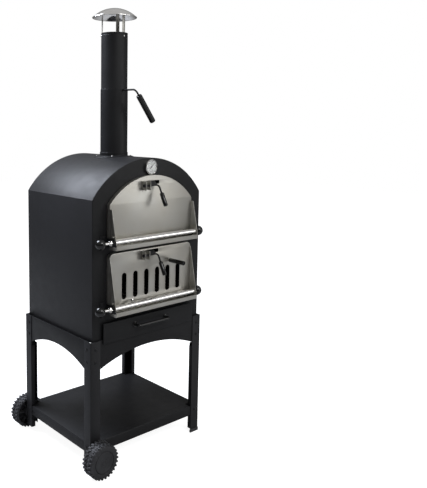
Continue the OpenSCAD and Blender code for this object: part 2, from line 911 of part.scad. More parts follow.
// Turns a piece about the latch rod to the lever's lean
module at_lever() rotate([-latch_lean, 0, 0]) children();

// Rod with a head, a blade that reaches through the door and a bent lever
module latch_rod(z) at_latch(z) {
    rod_x(ear_x[0] - gap, latch_crank_x, latch_rod_r);
    rod_x(ear_x[0] - 5, ear_x[0] - gap, 5.5);
    across_x(-20, 26) polygon([[-1, 1.5], [11.2, 13.6], [36, 13.6], [36, 11.6], [12, 11.6], [1.5, -1]]);
    translate([latch_crank_x, 0, 0]) {
        sphere(latch_rod_r);
        at_lever() translate([0, 0, -latch_lever_l]) cylinder(h = latch_lever_l, r = latch_rod_r - 0.5);
    }
}

module latch_grip(z) at_latch(z) translate([latch_crank_x, 0, 0]) at_lever() difference() {
    translate([0, 0, -latch_lever_l - latch_grip_end]) cylinder(h = latch_grip_l, r = latch_grip_r);
    translate([0, 0, -latch_lever_l - 1]) cylinder(h = latch_lever_l, r = latch_rod_r - 0.5 + 0.05);
}

module upper_latch_bracket() at_origin() color(steel) latch_bracket(upper_latch_z);

module upper_latch_rod() at_origin() color(black) latch_rod(upper_latch_z);

module upper_latch_grip() at_origin() color(plastic) latch_grip(upper_latch_z);

module lower_latch_bracket() at_origin() color(steel) latch_bracket(lower_latch_z);

module lower_latch_rod() at_origin() color(black) latch_rod(lower_latch_z);

module lower_latch_grip() at_origin() color(plastic) latch_grip(lower_latch_z);

// ---------- air vent ----------

// Plate behind the lower door with slots that line up with the door's when open
module vent_slider() {
    first_x = -(slot_count - 1) / 2 * slot_pitch;
    y0 = door_y + door_t + gap;
    at_origin() color(steel) {
        across_y(y0, 1.2) difference() {
            translate([-158, vent_screw_z - 6]) square([308, vent_z - vent_screw_z + 14]);
            for (i = [0 : slot_count - 1])
                upright_slot(first_x + i * slot_pitch, slot_z - 1, slot_z + slot_l + 1, slot_w + 2);
        }
        translate([vent_screw_x, 0, vent_screw_z]) rod_y(door_y - 1, y0, 3);
        translate([vent_knob_x, 0, vent_z]) rod_y(door_y - 20, y0, 4);
    }
}

module vent_knob() at_origin() color(plastic) translate([vent_knob_x, 0, vent_z]) difference() {
    rod_y(door_y - vent_knob_reach, door_y - 7, 7.5);
    rod_y(door_y - 21, door_y - 6, 4.05);
}

module vent_screw() at_origin() color(bright) translate([vent_screw_x, 0, vent_screw_z])
    rod_y(door_y - 3, door_y - 1, 5);

// ---------- one line per node ----------

leg_front_left();
leg_back_left();
leg_front_right();
leg_back_right();
apron_front();
apron_back();
apron_left();
apron_right();
bottom_shelf();
foot_caps();
stand_bolts();
wheel_axles();
wheel_front();
wheel_back();
hub_cap_front();
hub_cap_back();
front_panel();
back_panel();
left_wall();
right_wall();
roof();
floor_plate();
shelf_rails();
drawer_rails();
fire_grate();
stone_rack();
pizza_stone();
ash_tray();
drawer_front();
drawer_handle();
flue_flange();
lower_pipe();
upper_pipe();
cap_dome();
cap_straps();
chimney_screws();
damper_plate();
damper_rod();
damper_grip();
thermometer_case();
thermometer_dial();
thermometer_needle();
thermometer_lens();
hinge_brackets();
hinge_rods();
rod_knobs();
rod_nuts();
upper_door();
upper_rail();
upper_latch_bracket();
upper_latch_rod();
upper_latch_grip();
lower_door();
lower_rail();
lower_latch_bracket();
lower_latch_rod();
lower_latch_grip();
vent_slider();
vent_knob();
vent_screw();
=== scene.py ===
"""Looks of the wood fired pizza oven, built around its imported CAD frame.

Shapes are made in millimetres about the oven's own centre, as in the CAD source, and
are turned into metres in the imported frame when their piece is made.
"""

import json
import math

import bmesh
import bpy
from mathutils import Matrix, Vector
from mathutils.geometry import tessellate_polygon


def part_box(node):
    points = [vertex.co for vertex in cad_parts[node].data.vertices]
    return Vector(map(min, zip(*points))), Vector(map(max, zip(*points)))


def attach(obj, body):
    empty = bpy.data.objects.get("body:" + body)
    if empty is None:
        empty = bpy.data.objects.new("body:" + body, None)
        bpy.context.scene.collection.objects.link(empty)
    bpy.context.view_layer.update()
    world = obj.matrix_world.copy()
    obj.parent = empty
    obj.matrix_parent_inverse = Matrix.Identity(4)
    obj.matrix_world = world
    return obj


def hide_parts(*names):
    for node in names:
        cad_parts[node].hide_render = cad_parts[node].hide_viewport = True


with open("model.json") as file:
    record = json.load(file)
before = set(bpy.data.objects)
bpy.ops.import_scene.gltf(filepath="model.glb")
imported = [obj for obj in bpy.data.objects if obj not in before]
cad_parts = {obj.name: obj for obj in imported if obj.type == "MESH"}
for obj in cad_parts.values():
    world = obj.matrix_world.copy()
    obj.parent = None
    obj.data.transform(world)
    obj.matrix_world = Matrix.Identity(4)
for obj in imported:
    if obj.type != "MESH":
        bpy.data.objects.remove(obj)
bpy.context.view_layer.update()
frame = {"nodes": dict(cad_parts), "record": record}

MM = 0.001
RECORD = frame["record"]
SLOT_OF = {part["node"]: part["material_slot"] for part in RECORD["subparts"]}
BODY_OF = {
    node: body
    for body, nodes in RECORD["behaviour"]["bodies"].items()
    for node in nodes
}
FLOOR_LOW, FLOOR_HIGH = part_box("floor_plate")
CENTRE = Vector(((FLOOR_LOW.x + FLOOR_HIGH.x) / 2, (FLOOR_LOW.y + FLOOR_HIGH.y) / 2, 0))


class Span:
    """A CAD node's box in millimetres about the oven's centre."""

    def __init__(self, node):
        low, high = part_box(node)
        self.x0, self.y0, self.z0 = (low - CENTRE) / MM
        self.x1, self.y1, self.z1 = (high - CENTRE) / MM
        self.x = (self.x0 + self.x1) / 2
        self.y = (self.y0 + self.y1) / 2
        self.z = (self.z0 + self.z1) / 2


# ---------- shapes ----------


class Shape:
    """Points and faces that are gathered before they become one mesh."""

    def __init__(self):
        self.points = []
        self.faces = []

    def add(self, made, place=None):
        points, faces = made
        start = len(self.points)
        place = place or Matrix()
        self.points += [place @ Vector(p) for p in points]
        self.faces += [[start + i for i in face] for face in faces]
        return self


def move(x=0.0, y=0.0, z=0.0):
    return Matrix.Translation((x, y, z))


def turn(degrees, axis):
    return Matrix.Rotation(math.radians(degrees), 4, axis)


# The local Z of a lathe or a slab is turned along these directions
ALONG_X = Matrix(((0, 0, 1, 0), (1, 0, 0, 0), (0, 1, 0, 0), (0, 0, 0, 1)))
ALONG_BACK = Matrix(((-1, 0, 0, 0), (0, 0, 1, 0), (0, 1, 0, 0), (0, 0, 0, 1)))
ALONG_FRONT = Matrix(((1, 0, 0, 0), (0, 0, -1, 0), (0, 1, 0, 0), (0, 0, 0, 1)))
# As ALONG_BACK, mirrored, so that local X still runs to the oven's right
ALONG_BACK_KEEP = Matrix(((1, 0, 0, 0), (0, 0, 1, 0), (0, 1, 0, 0), (0, 0, 0, 1)))
# Local X runs to the left, local Y up, and a slab's height along Y
FOLD_PLACE = Matrix(((-1, 0, 0, 0), (0, 0, 1, 0), (0, 1, 0, 0), (0, 0, 0, 1)))


def arc(centre, radius, start, end, steps):
    """Points along an arc, with its angles in degrees."""
    turns = [math.radians(start + (end - start) * i / steps) for i in range(steps + 1)]
    return [(centre[0] + radius * math.cos(a), centre[1] + radius * math.sin(a)) for a in turns]


def fillet(points, radius, steps=5, closed=True):
    """Rounds the corners of a path, in two or three dimensions."""
    points = [Vector(p).to_3d() for p in points]
    count = len(points)
    made = []
    for i, corner in enumerate(points):
        if not closed and i in (0, count - 1):
            made.append(corner)
            continue
        before = points[i - 1] - corner
        after = points[(i + 1) % count] - corner
        between = before.angle(after)
        if between > math.radians(178):
            made.append(corner)
            continue
        reach = min(radius / math.tan(between / 2), 0.48 * before.length, 0.48 * after.length)
        bend = reach * math.tan(between / 2)
        middle = corner + (before.normalized() + after.normalized()).normalized() * (
            bend / math.sin(between / 2)
        )
        first = corner + before.normalized() * reach - middle
        last = corner + after.normalized() * reach - middle
        for k in range(steps + 1):
            made.append(middle + first.slerp(last, k / steps) * bend if bend > 1e-6 else corner)
    return made


def flat(points):
    return [(p[0], p[1]) for p in points]


def rectangle(x0, x1, y0, y1, radius=0.0, steps=5):
    corners = [(x0, y0), (x1, y0), (x1, y1), (x0, y1)]
    return flat(fillet(corners, radius, steps)) if radius else corners


def round_slot(x0, y0, x1, y1, width):
    """Outline of a slot with round ends, upright or level."""
    half = width / 2
    if x0 == x1:
        return arc((x0, y1 - half), half, 0, 180, 14) + arc((x0, y0 + half), half, 180, 360, 14)
    return arc((x1, y0), half, -90, 90, 14) + arc((x0, y0), half, 90, 270, 14)


def area(outline):
    count = len(outline)
    return 0.5 * sum(
        outline[i][0] * outline[(i + 1) % count][1] - outline[(i + 1) % count][0] * outline[i][1]
        for i in range(count)
    )


def inset(outline, depth):
    """A closed outline moved to its left by depth, with mitred corners."""
    count = len(outline)
    made = []
    for i in range(count):
        here = Vector(outline[i])
        back = (here - Vector(outline[i - 1])).normalized()
        ahead = (Vector(outline[(i + 1) % count]) - here).normalized()
        left = Vector((-back.y - ahead.y, back.x + ahead.x))
        left = left.normalized() if left.length > 1e-6 else Vector((-back.y, back.x))
        stretch = max(left.dot(Vector((-back.y, back.x))), 0.35)
        made.append(tuple(here + left * (depth / stretch)))
    return made


def slab(outlines, low, high, edge=0.35, steps=2):
    """A sheet from low to high with rounded edges: the first outline is its rim and the rest are holes."""
    turned = []
    for i, outline in enumerate(outlines):
        clockwise = area(outline) < 0
        turned.append(list(reversed(outline)) if clockwise == (i == 0) else list(outline))
    edge = min(edge, (high - low) / 2)
    quarter = [math.pi / 2 * k / steps for k in range(steps + 1)]
    profile = [(edge * (1 - math.sin(a)), low + edge * (1 - math.cos(a))) for a in quarter]
    profile += [(edge * (1 - math.sin(a)), high - edge * (1 - math.cos(a))) for a in reversed(quarter)]
    points, faces, caps = [], [], []
    for depth, z in profile:
        ring_starts = []
        for outline in turned:
            ring_starts.append(len(points))
            points += [(x, y, z) for x, y in inset(outline, depth)]
        caps.append(ring_starts)
    for k in range(len(profile) - 1):
        for outline, a, b in zip(turned, caps[k], caps[k + 1]):
            count = len(outline)
            for i in range(count):
                j = (i + 1) % count
                faces.append([a + i, a + j, b + j, b + i])
    for level, up in ((0, False), (len(profile) - 1, True)):
        numbers = [
            start + i for outline, start in zip(turned, caps[level]) for i in range(len(outline))
        ]
        loops = [
            [Vector(points[start + i]) for i in range(len(outline))]
            for outline, start in zip(turned, caps[level])
        ]
        for triangle in tessellate_polygon(loops):
            corners = [numbers[i] for i in triangle]
            facing = area([points[i] for i in corners]) > 0
            faces.append(corners if facing == up else corners[::-1])
    return points, faces


def loft(rings, wrap=False, capped=True):
    """Joins rings of equal length. wrap joins the last ring to the first."""
    count = len(rings[0])
    points = [tuple(p) for ring in rings for p in ring]
    faces = []
    for k in range(len(rings) if wrap else len(rings) - 1):
        a, b = k * count, (k + 1) % len(rings) * count
        faces += [[a + i, a + (i + 1) % count, b + (i + 1) % count, b + i] for i in range(count)]
    if capped and not wrap:
        faces.append(list(range(count))[::-1])
        faces.append([len(points) - count + i for i in range(count)])
    return points, faces


def lathe(profile, steps=72, wrap=False):
    """Turns a profile of (radius, height) about Z. It closes to a point where it meets the axis."""
    points, faces, rings = [], [], []
    for radius, height in profile:
        start = len(points)
        if radius < 1e-6:
            points.append((0, 0, height))
            rings.append([start] * steps)
            continue
        for i in range(steps):
            a = 2 * math.pi * i / steps
            points.append((radius * math.cos(a), radius * math.sin(a), height))
        rings.append([start + i for i in range(steps)])
    pairs = list(zip(rings, rings[1:])) + ([(rings[-1], rings[0])] if wrap else [])
    for a, b in pairs:
        for i in range(steps):
            j = (i + 1) % steps
            corners = [a[i], a[j], b[j], b[i]]
            faces.append(list(dict.fromkeys(corners)))
    return points, [f for f in faces if len(f) > 2]


def rod(length, radius, edge=0.5, steps=40):
    """Solid round bar from zero up Z, with softened ends."""
    half = [(0, 0), (radius - edge, 0), (radius, edge)]
    return lathe(half + [(r, length - z) for r, z in reversed(half)], steps)


def sleeve(length, outer, inner, edge=0.3, steps=72):
    """Tube from zero up Z, with softened ends."""
    return lathe(
        [
            (outer - edge, 0), (outer, edge), (outer, length - edge), (outer - edge, length),
            (inner + edge, length), (inner, length - edge), (inner, edge), (inner + edge, 0),
        ],
        steps,
        wrap=True,
    )


def sweep(path, radius, steps=24, edge=0.5):
    """Round bar along a path, with softened ends."""
    path = [Vector(p) for p in path]
    first = (path[1] - path[0]).normalized()
    last = (path[-1] - path[-2]).normalized()
    path = [path[0], path[0] + first * edge] + path[1:-1] + [path[-1] - last * edge, path[-1]]
    radii = [radius - edge] + [radius] * (len(path) - 2) + [radius - edge]
    side = first.orthogonal().normalized()
    rings = []
    for i, point in enumerate(path):
        ahead = path[min(i + 1, len(path) - 1)] - path[max(i - 1, 0)]
        ahead.normalize()
        side = (side - ahead * side.dot(ahead)).normalized()
        up = ahead.cross(side)
        turns = [2 * math.pi * k / steps for k in range(steps)]
        rings.append([point + (side * math.cos(a) + up * math.sin(a)) * radii[i] for a in turns])
    return loft(rings)


def block(x, y, z, edge=0.6, corner=None):
    """Box with rounded edges between pairs of limits."""
    outline = rectangle(x[0], x[1], y[0], y[1], edge if corner is None else corner, 3)
    return slab([outline], z[0], z[1], edge)


def hex_nut(flats, height, bore):
    """Chamfered nut from zero up Z."""
    outline = arc((0, 0), flats / math.sqrt(3), 0, 300, 5)
    return slab([flat(fillet(outline, 0.5, 2)), arc((0, 0), bore, 0, 345, 23)], 0, height, 0.7)


def piece(name, shape, node, slot=None, sharp=24):
    """Makes one mesh from a shape. It stands for a CAD node, and takes its body and its slot."""
    mesh = bpy.data.meshes.new(name)
    place = Matrix.Translation(CENTRE) @ Matrix.Scale(MM, 4)
    mesh.from_pydata([place @ p for p in shape.points], [], shape.faces)
    work = bmesh.new()
    work.from_mesh(mesh)
    bmesh.ops.remove_doubles(work, verts=work.verts, dist=1e-7)
    bmesh.ops.recalc_face_normals(work, faces=work.faces)
    work.to_mesh(mesh)
    work.free()
    mesh.polygons.foreach_set("use_smooth", [True] * len(mesh.polygons))
    mesh.set_sharp_from_angle(angle=math.radians(sharp))
    made = bpy.data.objects.new(name, mesh)
    bpy.context.scene.collection.objects.link(made)
    slot = slot or SLOT_OF[node]
    mesh.materials.append(MATERIALS[slot])
    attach(made, BODY_OF[node])
    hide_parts(node)


# ---------- materials ----------


class Nodes:
    """Short calls for a material's node tree."""

    def __init__(self, name):
        self.material = bpy.data.materials.new(name)
        self.material.use_nodes = True
        self.tree = self.material.node_tree
        self.shader = self.tree.nodes["Principled BSDF"]
        self.place = self.add("ShaderNodeTexCoord").outputs["Object"]

    def add(self, kind, **values):
        made = self.tree.nodes.new(kind)
        for key, value in values.items():
            setattr(made, key, value)
        return made

    def link(self, start, end):
        self.tree.links.new(start, end)

    def shaded(self, **values):
        """Sets the shader's own sockets, by the short names in SOCKETS."""
        for key, value in values.items():
            self.shader.inputs[SOCKETS[key]].default_value = value
        return self

    def noise(self, scale, detail=3.0, stretch=(1, 1, 1), roughness=0.55):
        mapping = self.add("ShaderNodeMapping")
        mapping.inputs["Scale"].default_value = stretch
        self.link(self.place, mapping.inputs["Vector"])
        made = self.add("ShaderNodeTexNoise")
        made.inputs["Scale"].default_value = scale
        made.inputs["Detail"].default_value = detail
        made.inputs["Roughness"].default_value = roughness
        self.link(mapping.outputs["Vector"], made.inputs["Vector"])
        return made.outputs["Fac"]

    def spread(self, value, low, high, source=(0.3, 0.7)):
        """Stretches a 0 to 1 value from the source range to low and high."""
        made = self.add("ShaderNodeMapRange")
        made.inputs["From Min"].default_value, made.inputs["From Max"].default_value = source
        made.inputs["To Min"].default_value = low
        made.inputs["To Max"].default_value = high
        self.link(value, made.inputs["Value"])
        return made.outputs["Result"]

    def blend(self, value, low, high):
        """Mixes two colours."""
        made = self.add("ShaderNodeMix", data_type="RGBA")
        made.inputs["A"].default_value = (*low, 1)
        made.inputs["B"].default_value = (*high, 1)
        self.link(value, made.inputs["Factor"])
        return made.outputs["Result"]

    def blend_over(self, value, under, high):
        """Mixes a colour over one that another node gives."""
        made = self.add("ShaderNodeMix", data_type="RGBA")
        self.link(under, made.inputs["A"])
        made.inputs["B"].default_value = (*high, 1)
        self.link(value, made.inputs["Factor"])
        return made.outputs["Result"]

    def edges(self, start=0.53, end=0.62):
        """1 along worn convex edges and 0 elsewhere."""
        return self.spread(self.add("ShaderNodeNewGeometry").outputs["Pointiness"], 0, 1, (start, end))

    def bump(self, value, strength, distance):
        made = self.add("ShaderNodeBump")
        made.inputs["Strength"].default_value = strength
        made.inputs["Distance"].default_value = distance
        self.link(value, made.inputs["Height"])
        self.link(made.outputs["Normal"], self.shader.inputs["Normal"])

    def colour(self, value):
        self.link(value, self.shader.inputs["Base Color"])

    def rough(self, value):
        self.link(value, self.shader.inputs["Roughness"])


SOCKETS = {
    "colour": "Base Color",
    "metallic": "Metallic",
    "roughness": "Roughness",
    "ior": "IOR",
    "specular": "Specular IOR Level",
    "transmission": "Transmission Weight",
    "glow": "Emission Color",
}


def finish(name, tones, rough, bump=None, over=None, **sockets):
    """A material whose tones, roughness and bump each follow a noise of their own.

    tones, rough and bump are a noise's scale and detail, then two colours, two roughnesses,
    or a strength and a distance. over is a mask made from the nodes, and the colour it lays on top.
    """
    n = Nodes(name).shaded(**sockets)
    if tones:
        tone = n.blend(n.spread(n.noise(*tones[:2]), 0, 1), *tones[2:])
        n.colour(n.blend_over(over[0](n), tone, over[1]) if over else tone)
    n.rough(n.spread(n.noise(*rough[:2]), *rough[2:]))
    if bump:
        n.bump(n.noise(*bump[:2]), *bump[2:])
    return n.material


def brushed_steel(name, tint, low, high, lines=0.16):
    """Satin stainless with fine level brush lines and soft cloudy stains."""
    n = Nodes(name).shaded(metallic=1.0)
    stains = n.spread(n.noise(9, 3), 0, 1)
    warm = tuple(c * f for c, f in zip(tint, (0.93, 0.90, 0.86)))
    n.colour(n.blend(stains, tint, warm))
    streaks = n.noise(1, 4, (14, 14, 3200), 0.7)
    n.rough(n.spread(streaks, low, high))
    n.bump(streaks, lines, 0.0002)
    return n.material


MATERIALS = {
    # Matt powder coat: fine orange peel, faint dust and slightly paler edges
    "black_paint": finish(
        "black_powder_coat",
        (5, 4, (0.0085, 0.0086, 0.0092), (0.012, 0.0122, 0.0132)),
        (28, 4, 0.42, 0.50),
        (1400, 2, 0.22, 0.0002),
        over=(lambda n: n.spread(n.edges(), 0, 0.5, (0, 1)), (0.03, 0.03, 0.033)),
        metallic=0.0,
        specular=0.19,
    ),
    "stainless": brushed_steel("brushed_stainless", (0.50, 0.495, 0.465), 0.40, 0.52),
    # Bright stainless with faint smears in its polish
    "polished": finish(
        "polished_stainless",
        (60, 4, (0.80, 0.79, 0.77), (0.72, 0.71, 0.69)),
        (160, 4, 0.07, 0.16),
        (45, 2, 0.04, 0.0005),
        metallic=1.0,
    ),
    # Dark heat-proof steel, blotched by heat and rough to the touch
    "bare_steel": finish(
        "heat_stained_steel",
        (24, 5, (0.045, 0.042, 0.040), (0.10, 0.085, 0.07)),
        (70, 4, 0.45, 0.7),
        (500, 4, 0.25, 0.0004),
        metallic=0.75,
    ),
    # Glossy moulded plastic with a soft ripple and fine scuffs
    "black_plastic": finish(
        "gloss_black_plastic",
        (80, 3, (0.004, 0.004, 0.004), (0.007, 0.007, 0.0072)),
        (300, 4, 0.11, 0.22),
        (120, 1, 0.05, 0.0006),
        specular=0.42,
    ),
    # Dull dark grey plastic with a fine grain and scuffed edges
    "wheel_plastic": finish(
        "moulded_wheel_plastic",
        (40, 4, (0.020, 0.020, 0.022), (0.032, 0.032, 0.035)),
        (90, 3, 0.5, 0.66),
        (1500, 3, 0.3, 0.0003),
        over=(lambda n: n.spread(n.edges(), 0, 0.45, (0, 1)), (0.08, 0.08, 0.085)),
        specular=0.35,
    ),
    # Pale cordierite: pitted and flecked, browned here and there by baking
    "cordierite": finish(
        "cordierite",
        (260, 5, (0.58, 0.46, 0.33), (0.47, 0.36, 0.25)),
        (120, 3, 0.82, 0.95),
        (700, 5, 0.5, 0.0006),
        over=(lambda n: n.spread(n.noise(7, 4), 0, 0.75, (0.5, 0.75)), (0.20, 0.13, 0.08)),
        specular=0.25,
    ),
    "dial_white": finish(
        "dial_enamel", (90, 3, (0.80, 0.80, 0.78), (0.70, 0.70, 0.68)), (200, 2, 0.3, 0.45), specular=0.5
    ),
    "needle_black": finish(
        "dial_ink", (300, 2, (0.012, 0.012, 0.012), (0.03, 0.03, 0.03)), (400, 2, 0.35, 0.5), specular=0.4
    ),
    # Thin clear window with a trace of smear
    "clear_glass": finish(
        "clear_glass", None, (50, 3, 0.01, 0.06), colour=(0.97, 0.98, 0.98, 1), transmission=1.0, ior=1.45
    ),
}
for node, item in frame["nodes"].items():
    item.data.materials.clear()
    item.data.materials.append(MATERIALS[SLOT_OF[node]])


# ---------- stand ----------

SHEET = 1.5
LEG_T = 2.0
LEG = Span("leg_front_right")
SHELF = Span("bottom_shelf")
WALL = Span("right_wall")
HALF_W = WALL.x1
FRONT = WALL.y0
BACK = WALL.y1
BODY_Z = WALL.z0
EAVE_Z = WALL.z1
RIDGE_Z = Span("roof").z1
CAP_TOP = Span("foot_caps").z1
# Return lips on a leg's flanges stop this far under the body, and this far from cap and shelf
LIP_DROP = 112
LIP_GAP = 3
LEG_LIP = 16
FRONT_RISE = 45
SIDE_RISE = 42
APRON_LEDGE = 20
SHELF_NOTCH = (40, 24)
SIDES = (-1, 1)


def angle_outline(corner_x, corner_y, flange_x, flange_y, t, radius):
    """Outline of an angle section with its outer corner at a point, its flanges running inwards."""
    sx = -1 if corner_x > 0 else 1
    sy = -1 if corner_y > 0 else 1
    outer = fillet([(0, flange_y), (0, 0), (flange_x, 0)], radius, 5, closed=False)
    inner = fillet([(flange_x, t), (t, t), (t, flange_y)], max(radius - t, 0.4), 4, closed=False)
    return [(corner_x + sx * p[0], corner_y + sy * p[1]) for p in outer + inner]


def build_legs():
    for node in ("leg_front_left", "leg_back_left", "leg_front_right", "leg_back_right"):
        box = Span(node)
        corner_x = box.x0 if box.x < 0 else box.x1
        corner_y = box.y0 if box.y < 0 else box.y1
        wide, deep = box.x1 - box.x0, box.y1 - box.y0
        outline = angle_outline(corner_x, corner_y, wide, deep, LEG_T, 3)
        shape = Shape().add(slab([outline], box.z0, box.z1, 0.4))
        flip = Matrix.Diagonal((1 if box.x < 0 else -1, 1 if box.y < 0 else -1, 1, 1))
        inwards = move(corner_x, corner_y) @ flip
        low = max(box.z0, CAP_TOP + LIP_GAP)
        for z in ((low, SHELF.z0 - LIP_GAP), (SHELF.z1 + LIP_GAP, BODY_Z - LIP_DROP)):
            shape.add(block((wide - LEG_T, wide), (0.3, LEG_LIP), z, 0.4), inwards)
            shape.add(block((0.3, LEG_LIP), (deep - LEG_T, deep), z, 0.4), inwards)
        piece(node + "_angle", shape, node)


def apron_outline(half, half_span, rise, z0, z1):
    """Apron with an arched underside between the legs."""
    radius = (half_span**2 + rise**2) / (2 * rise)
    swing = math.degrees(math.asin(half_span / radius))
    arch = arc((0, z0 + rise - radius), radius, 90 + swing, 90 - swing, 64)
    return [(-half, z1), (-half, z0)] + arch + [(half, z0), (half, z1)]


def build_aprons():
    edge = 0.3
    for side in ("front", "back", "left", "right"):
        node = "apron_" + side
        box = Span(node)
        if side in ("front", "back"):
            half, half_span, rise = box.x1, LEG.x0 + 2, FRONT_RISE
            place = move(0, box.y0) if side == "front" else move(0, box.y1) @ Matrix.Scale(-1, 4, (0, 1, 0))
        else:
            half, half_span, rise = box.y1, -LEG.y1, SIDE_RISE
            place = move(box.x1) @ turn(90, "Z") if side == "right" else move(box.x0) @ turn(-90, "Z")
        sheet = slab([apron_outline(half, half_span, rise, box.z0, box.z1)], 0, SHEET, edge)
        ledge = slab([rectangle(-half + 22, half - 22, SHEET, APRON_LEDGE, 2)], BODY_Z - SHEET, BODY_Z, edge)
        piece(node + "_sheet", Shape().add(sheet, place @ ALONG_BACK_KEEP).add(ledge, place), node)


def pan(half_x, half_y, height, t, bend, corner):
    """Open folded pan: its face is at zero and its walls run up Z, with rounded folds and corners."""

    def ring(back, z):
        radius = max(corner - back, 0.3)
        x, y = half_x - back, half_y - back
        return [(*p, z) for p in rectangle(-x, x, -y, y, radius, 6)]

    quarter = [math.pi / 2 * k / 5 for k in range(6)]
    outer = [ring(bend * (1 - math.sin(a)), bend * (1 - math.cos(a))) for a in quarter]
    inner_bend = max(bend - t, 0.3)
    inner = [ring(t + inner_bend * (1 - math.sin(a)), t + inner_bend * (1 - math.cos(a))) for a in quarter]
    lip = [ring(0, height - 0.3), ring(0.3, height), ring(t - 0.3, height), ring(t, height - 0.3)]
    return loft(outer + lip + inner[::-1])


def build_shelf():
    """Tray turned upside down, its skirt unbroken and its top cut out at the corners round the legs."""
    half_x, half_y = SHELF.x1, SHELF.y1
    in_x, in_y = half_x - SHEET, half_y - SHEET
    notch_x, notch_y = in_x - SHELF_NOTCH[0], in_y - SHELF_NOTCH[1]
    bend = 2.5
    skirt = [rectangle(-half_x, half_x, -half_y, half_y, 4), rectangle(-in_x, in_x, -in_y, in_y, 2.5)]
    shape = Shape().add(slab(skirt, SHELF.z0, SHELF.z1 - bend + 0.4, 0.4))
    cross = [
        (notch_x, -half_y + 1), (notch_x, -notch_y), (half_x - 1, -notch_y),
        (half_x - 1, notch_y), (notch_x, notch_y), (notch_x, half_y - 1),
    ]
    cross += [(-x, y) for x, y in reversed(cross)]
    shape.add(slab([flat(fillet(cross, 1.5, 3))], SHELF.z1 - SHEET, SHELF.z1, 0.3))
    fold = arc((bend, -bend), bend, 180, 90, 6) + arc((bend, -bend), bend - SHEET, 90, 180, 6)
    for quarter in range(4):
        length, out = (notch_x, half_y) if quarter % 2 else (notch_y, half_x)
        place = turn(90 * quarter, "Z") @ move(out, 0, SHELF.z1) @ FOLD_PLACE
        shape.add(slab([fold], -length, length, 0.1), place)
    piece("bottom_shelf_pan", shape, "bottom_shelf")


def build_foot_caps():
    box = Span("foot_caps")
    wall = 1.5
    shape = Shape()
    wide, deep = LEG.x1 - LEG.x0 + 2 * wall, LEG.y1 - LEG.y0 + 2 * wall
    for side in SIDES:
        outline = angle_outline(LEG.x1 + wall, side * (wall - LEG.y0), wide, deep, LEG_T + 2 * wall, 3)
        shape.add(slab([outline], box.z0, box.z1, 1.2, 3))
    piece("foot_cap_mouldings", shape, "foot_caps")


def build_stand_bolts():
    head_r, head_h, shank_r, grip = 6, 2.6, 3, LEG_T + SHEET + 0.3
    bolt = Shape()
    dome = [(0, -head_h), (2.5, -head_h + 0.25), (4.5, -head_h + 1), (head_r, -0.5), (head_r, 0), (0, 0)]
    shank = [(0, 0), (shank_r, 0), (shank_r, grip + 6.5), (shank_r - 0.5, grip + 7), (0, grip + 7)]
    bolt.add(lathe(dome, 32)).add(lathe(shank, 24))
    bolt.add(hex_nut(10, 5, shank_r), move(0, 0, grip))
    inwards = turn(-90, "X")
    shape = Shape()
    for mx in SIDES:
        for my in SIDES:
            flip = Matrix.Diagonal((mx, my, 1, 1))
            for z in (BODY_Z - 22, BODY_Z - 66, SHELF.z1 - 16):
                made = (bolt.points, bolt.faces)
                shape.add(made, flip @ move(LEG.x1 - 20, LEG.y0, z) @ inwards)
                shape.add(made, flip @ move(LEG.x1, LEG.y0 + 24, z) @ turn(90, "Z") @ inwards)
    piece("stand_bolt_set", shape, "stand_bolts")


# ---------- wheels ----------

WHEEL = Span("wheel_front")
WHEEL_R = (WHEEL.z1 - WHEEL.z0) / 2
WHEEL_W = WHEEL.y1 - WHEEL.y0
TREAD = 3.4


def wheel_shape():
    """Moulded wheel about Z with its outer side at zero: tyre, lugs in three rows, and an open back."""
    base = WHEEL_R - TREAD
    bore = 5.06
    profile = fillet(
        [
            (38.2, 0), (44, 0), (base - 3, 1.5), (base, 6), (base, WHEEL_W - 6), (base - 3, WHEEL_W - 1.5),
            (50, WHEEL_W), (50, 16), (18, 16), (18, WHEEL_W), (bore, WHEEL_W), (bore, 12.4), (12, 12.4),
            (12, 3.2), (38.2, 3.2),
        ],
        1.0,
        3,
    )
    shape = Shape().add(lathe(flat(profile), 120, wrap=True))
    lug = [(base - 8, -3.1), (base + 1, -3.4), (WHEEL_R, -2.5)]
    lug += [(x, -y) for x, y in reversed(lug)]
    shoulder = slab([flat(fillet(lug, 0.7, 2))], 1.6, 14.5, 1.1)
    middle = block((base - 0.5, WHEEL_R - 0.2), (-3.6, 3.6), (-6.5, 6.5), 0.9)
    lugs = 26
    for i in range(lugs):
        spin = turn(360 / lugs * i, "Z")
        half = turn(360 / lugs * (i + 0.5), "Z")
        shape.add(shoulder, spin)
        shape.add(shoulder, spin @ move(0, 0, WHEEL_W) @ Matrix.Diagonal((1, 1, -1, 1)))
        for side in SIDES:
            shape.add(middle, half @ move(0, 0, WHEEL_W / 2 + side * 7.2) @ turn(side * 24, "X")
                      @ Matrix.Diagonal((1, 0.8, 0.8, 1)))
    ribs = 6
    for i in range(ribs):
        shape.add(block((17, 51), (-1.2, 1.2), (15, 34), 0.5), turn(360 / ribs * i, "Z"))
    return shape


def cap_shape():
    """Hub cap about Z with its face near zero: a shallow disc with a raised rim and centre boss."""
    profile = [
        (0, 0.6), (9, 0.6), (10.2, 1.3), (11.4, 0.6), (31.5, 0.5), (32.6, 0.2), (35.2, 0.2), (36.3, 1.0),
        (36.5, 1.6), (36.5, 3.0), (0, 3.0),
    ]
    return Shape().add(lathe(profile, 120))


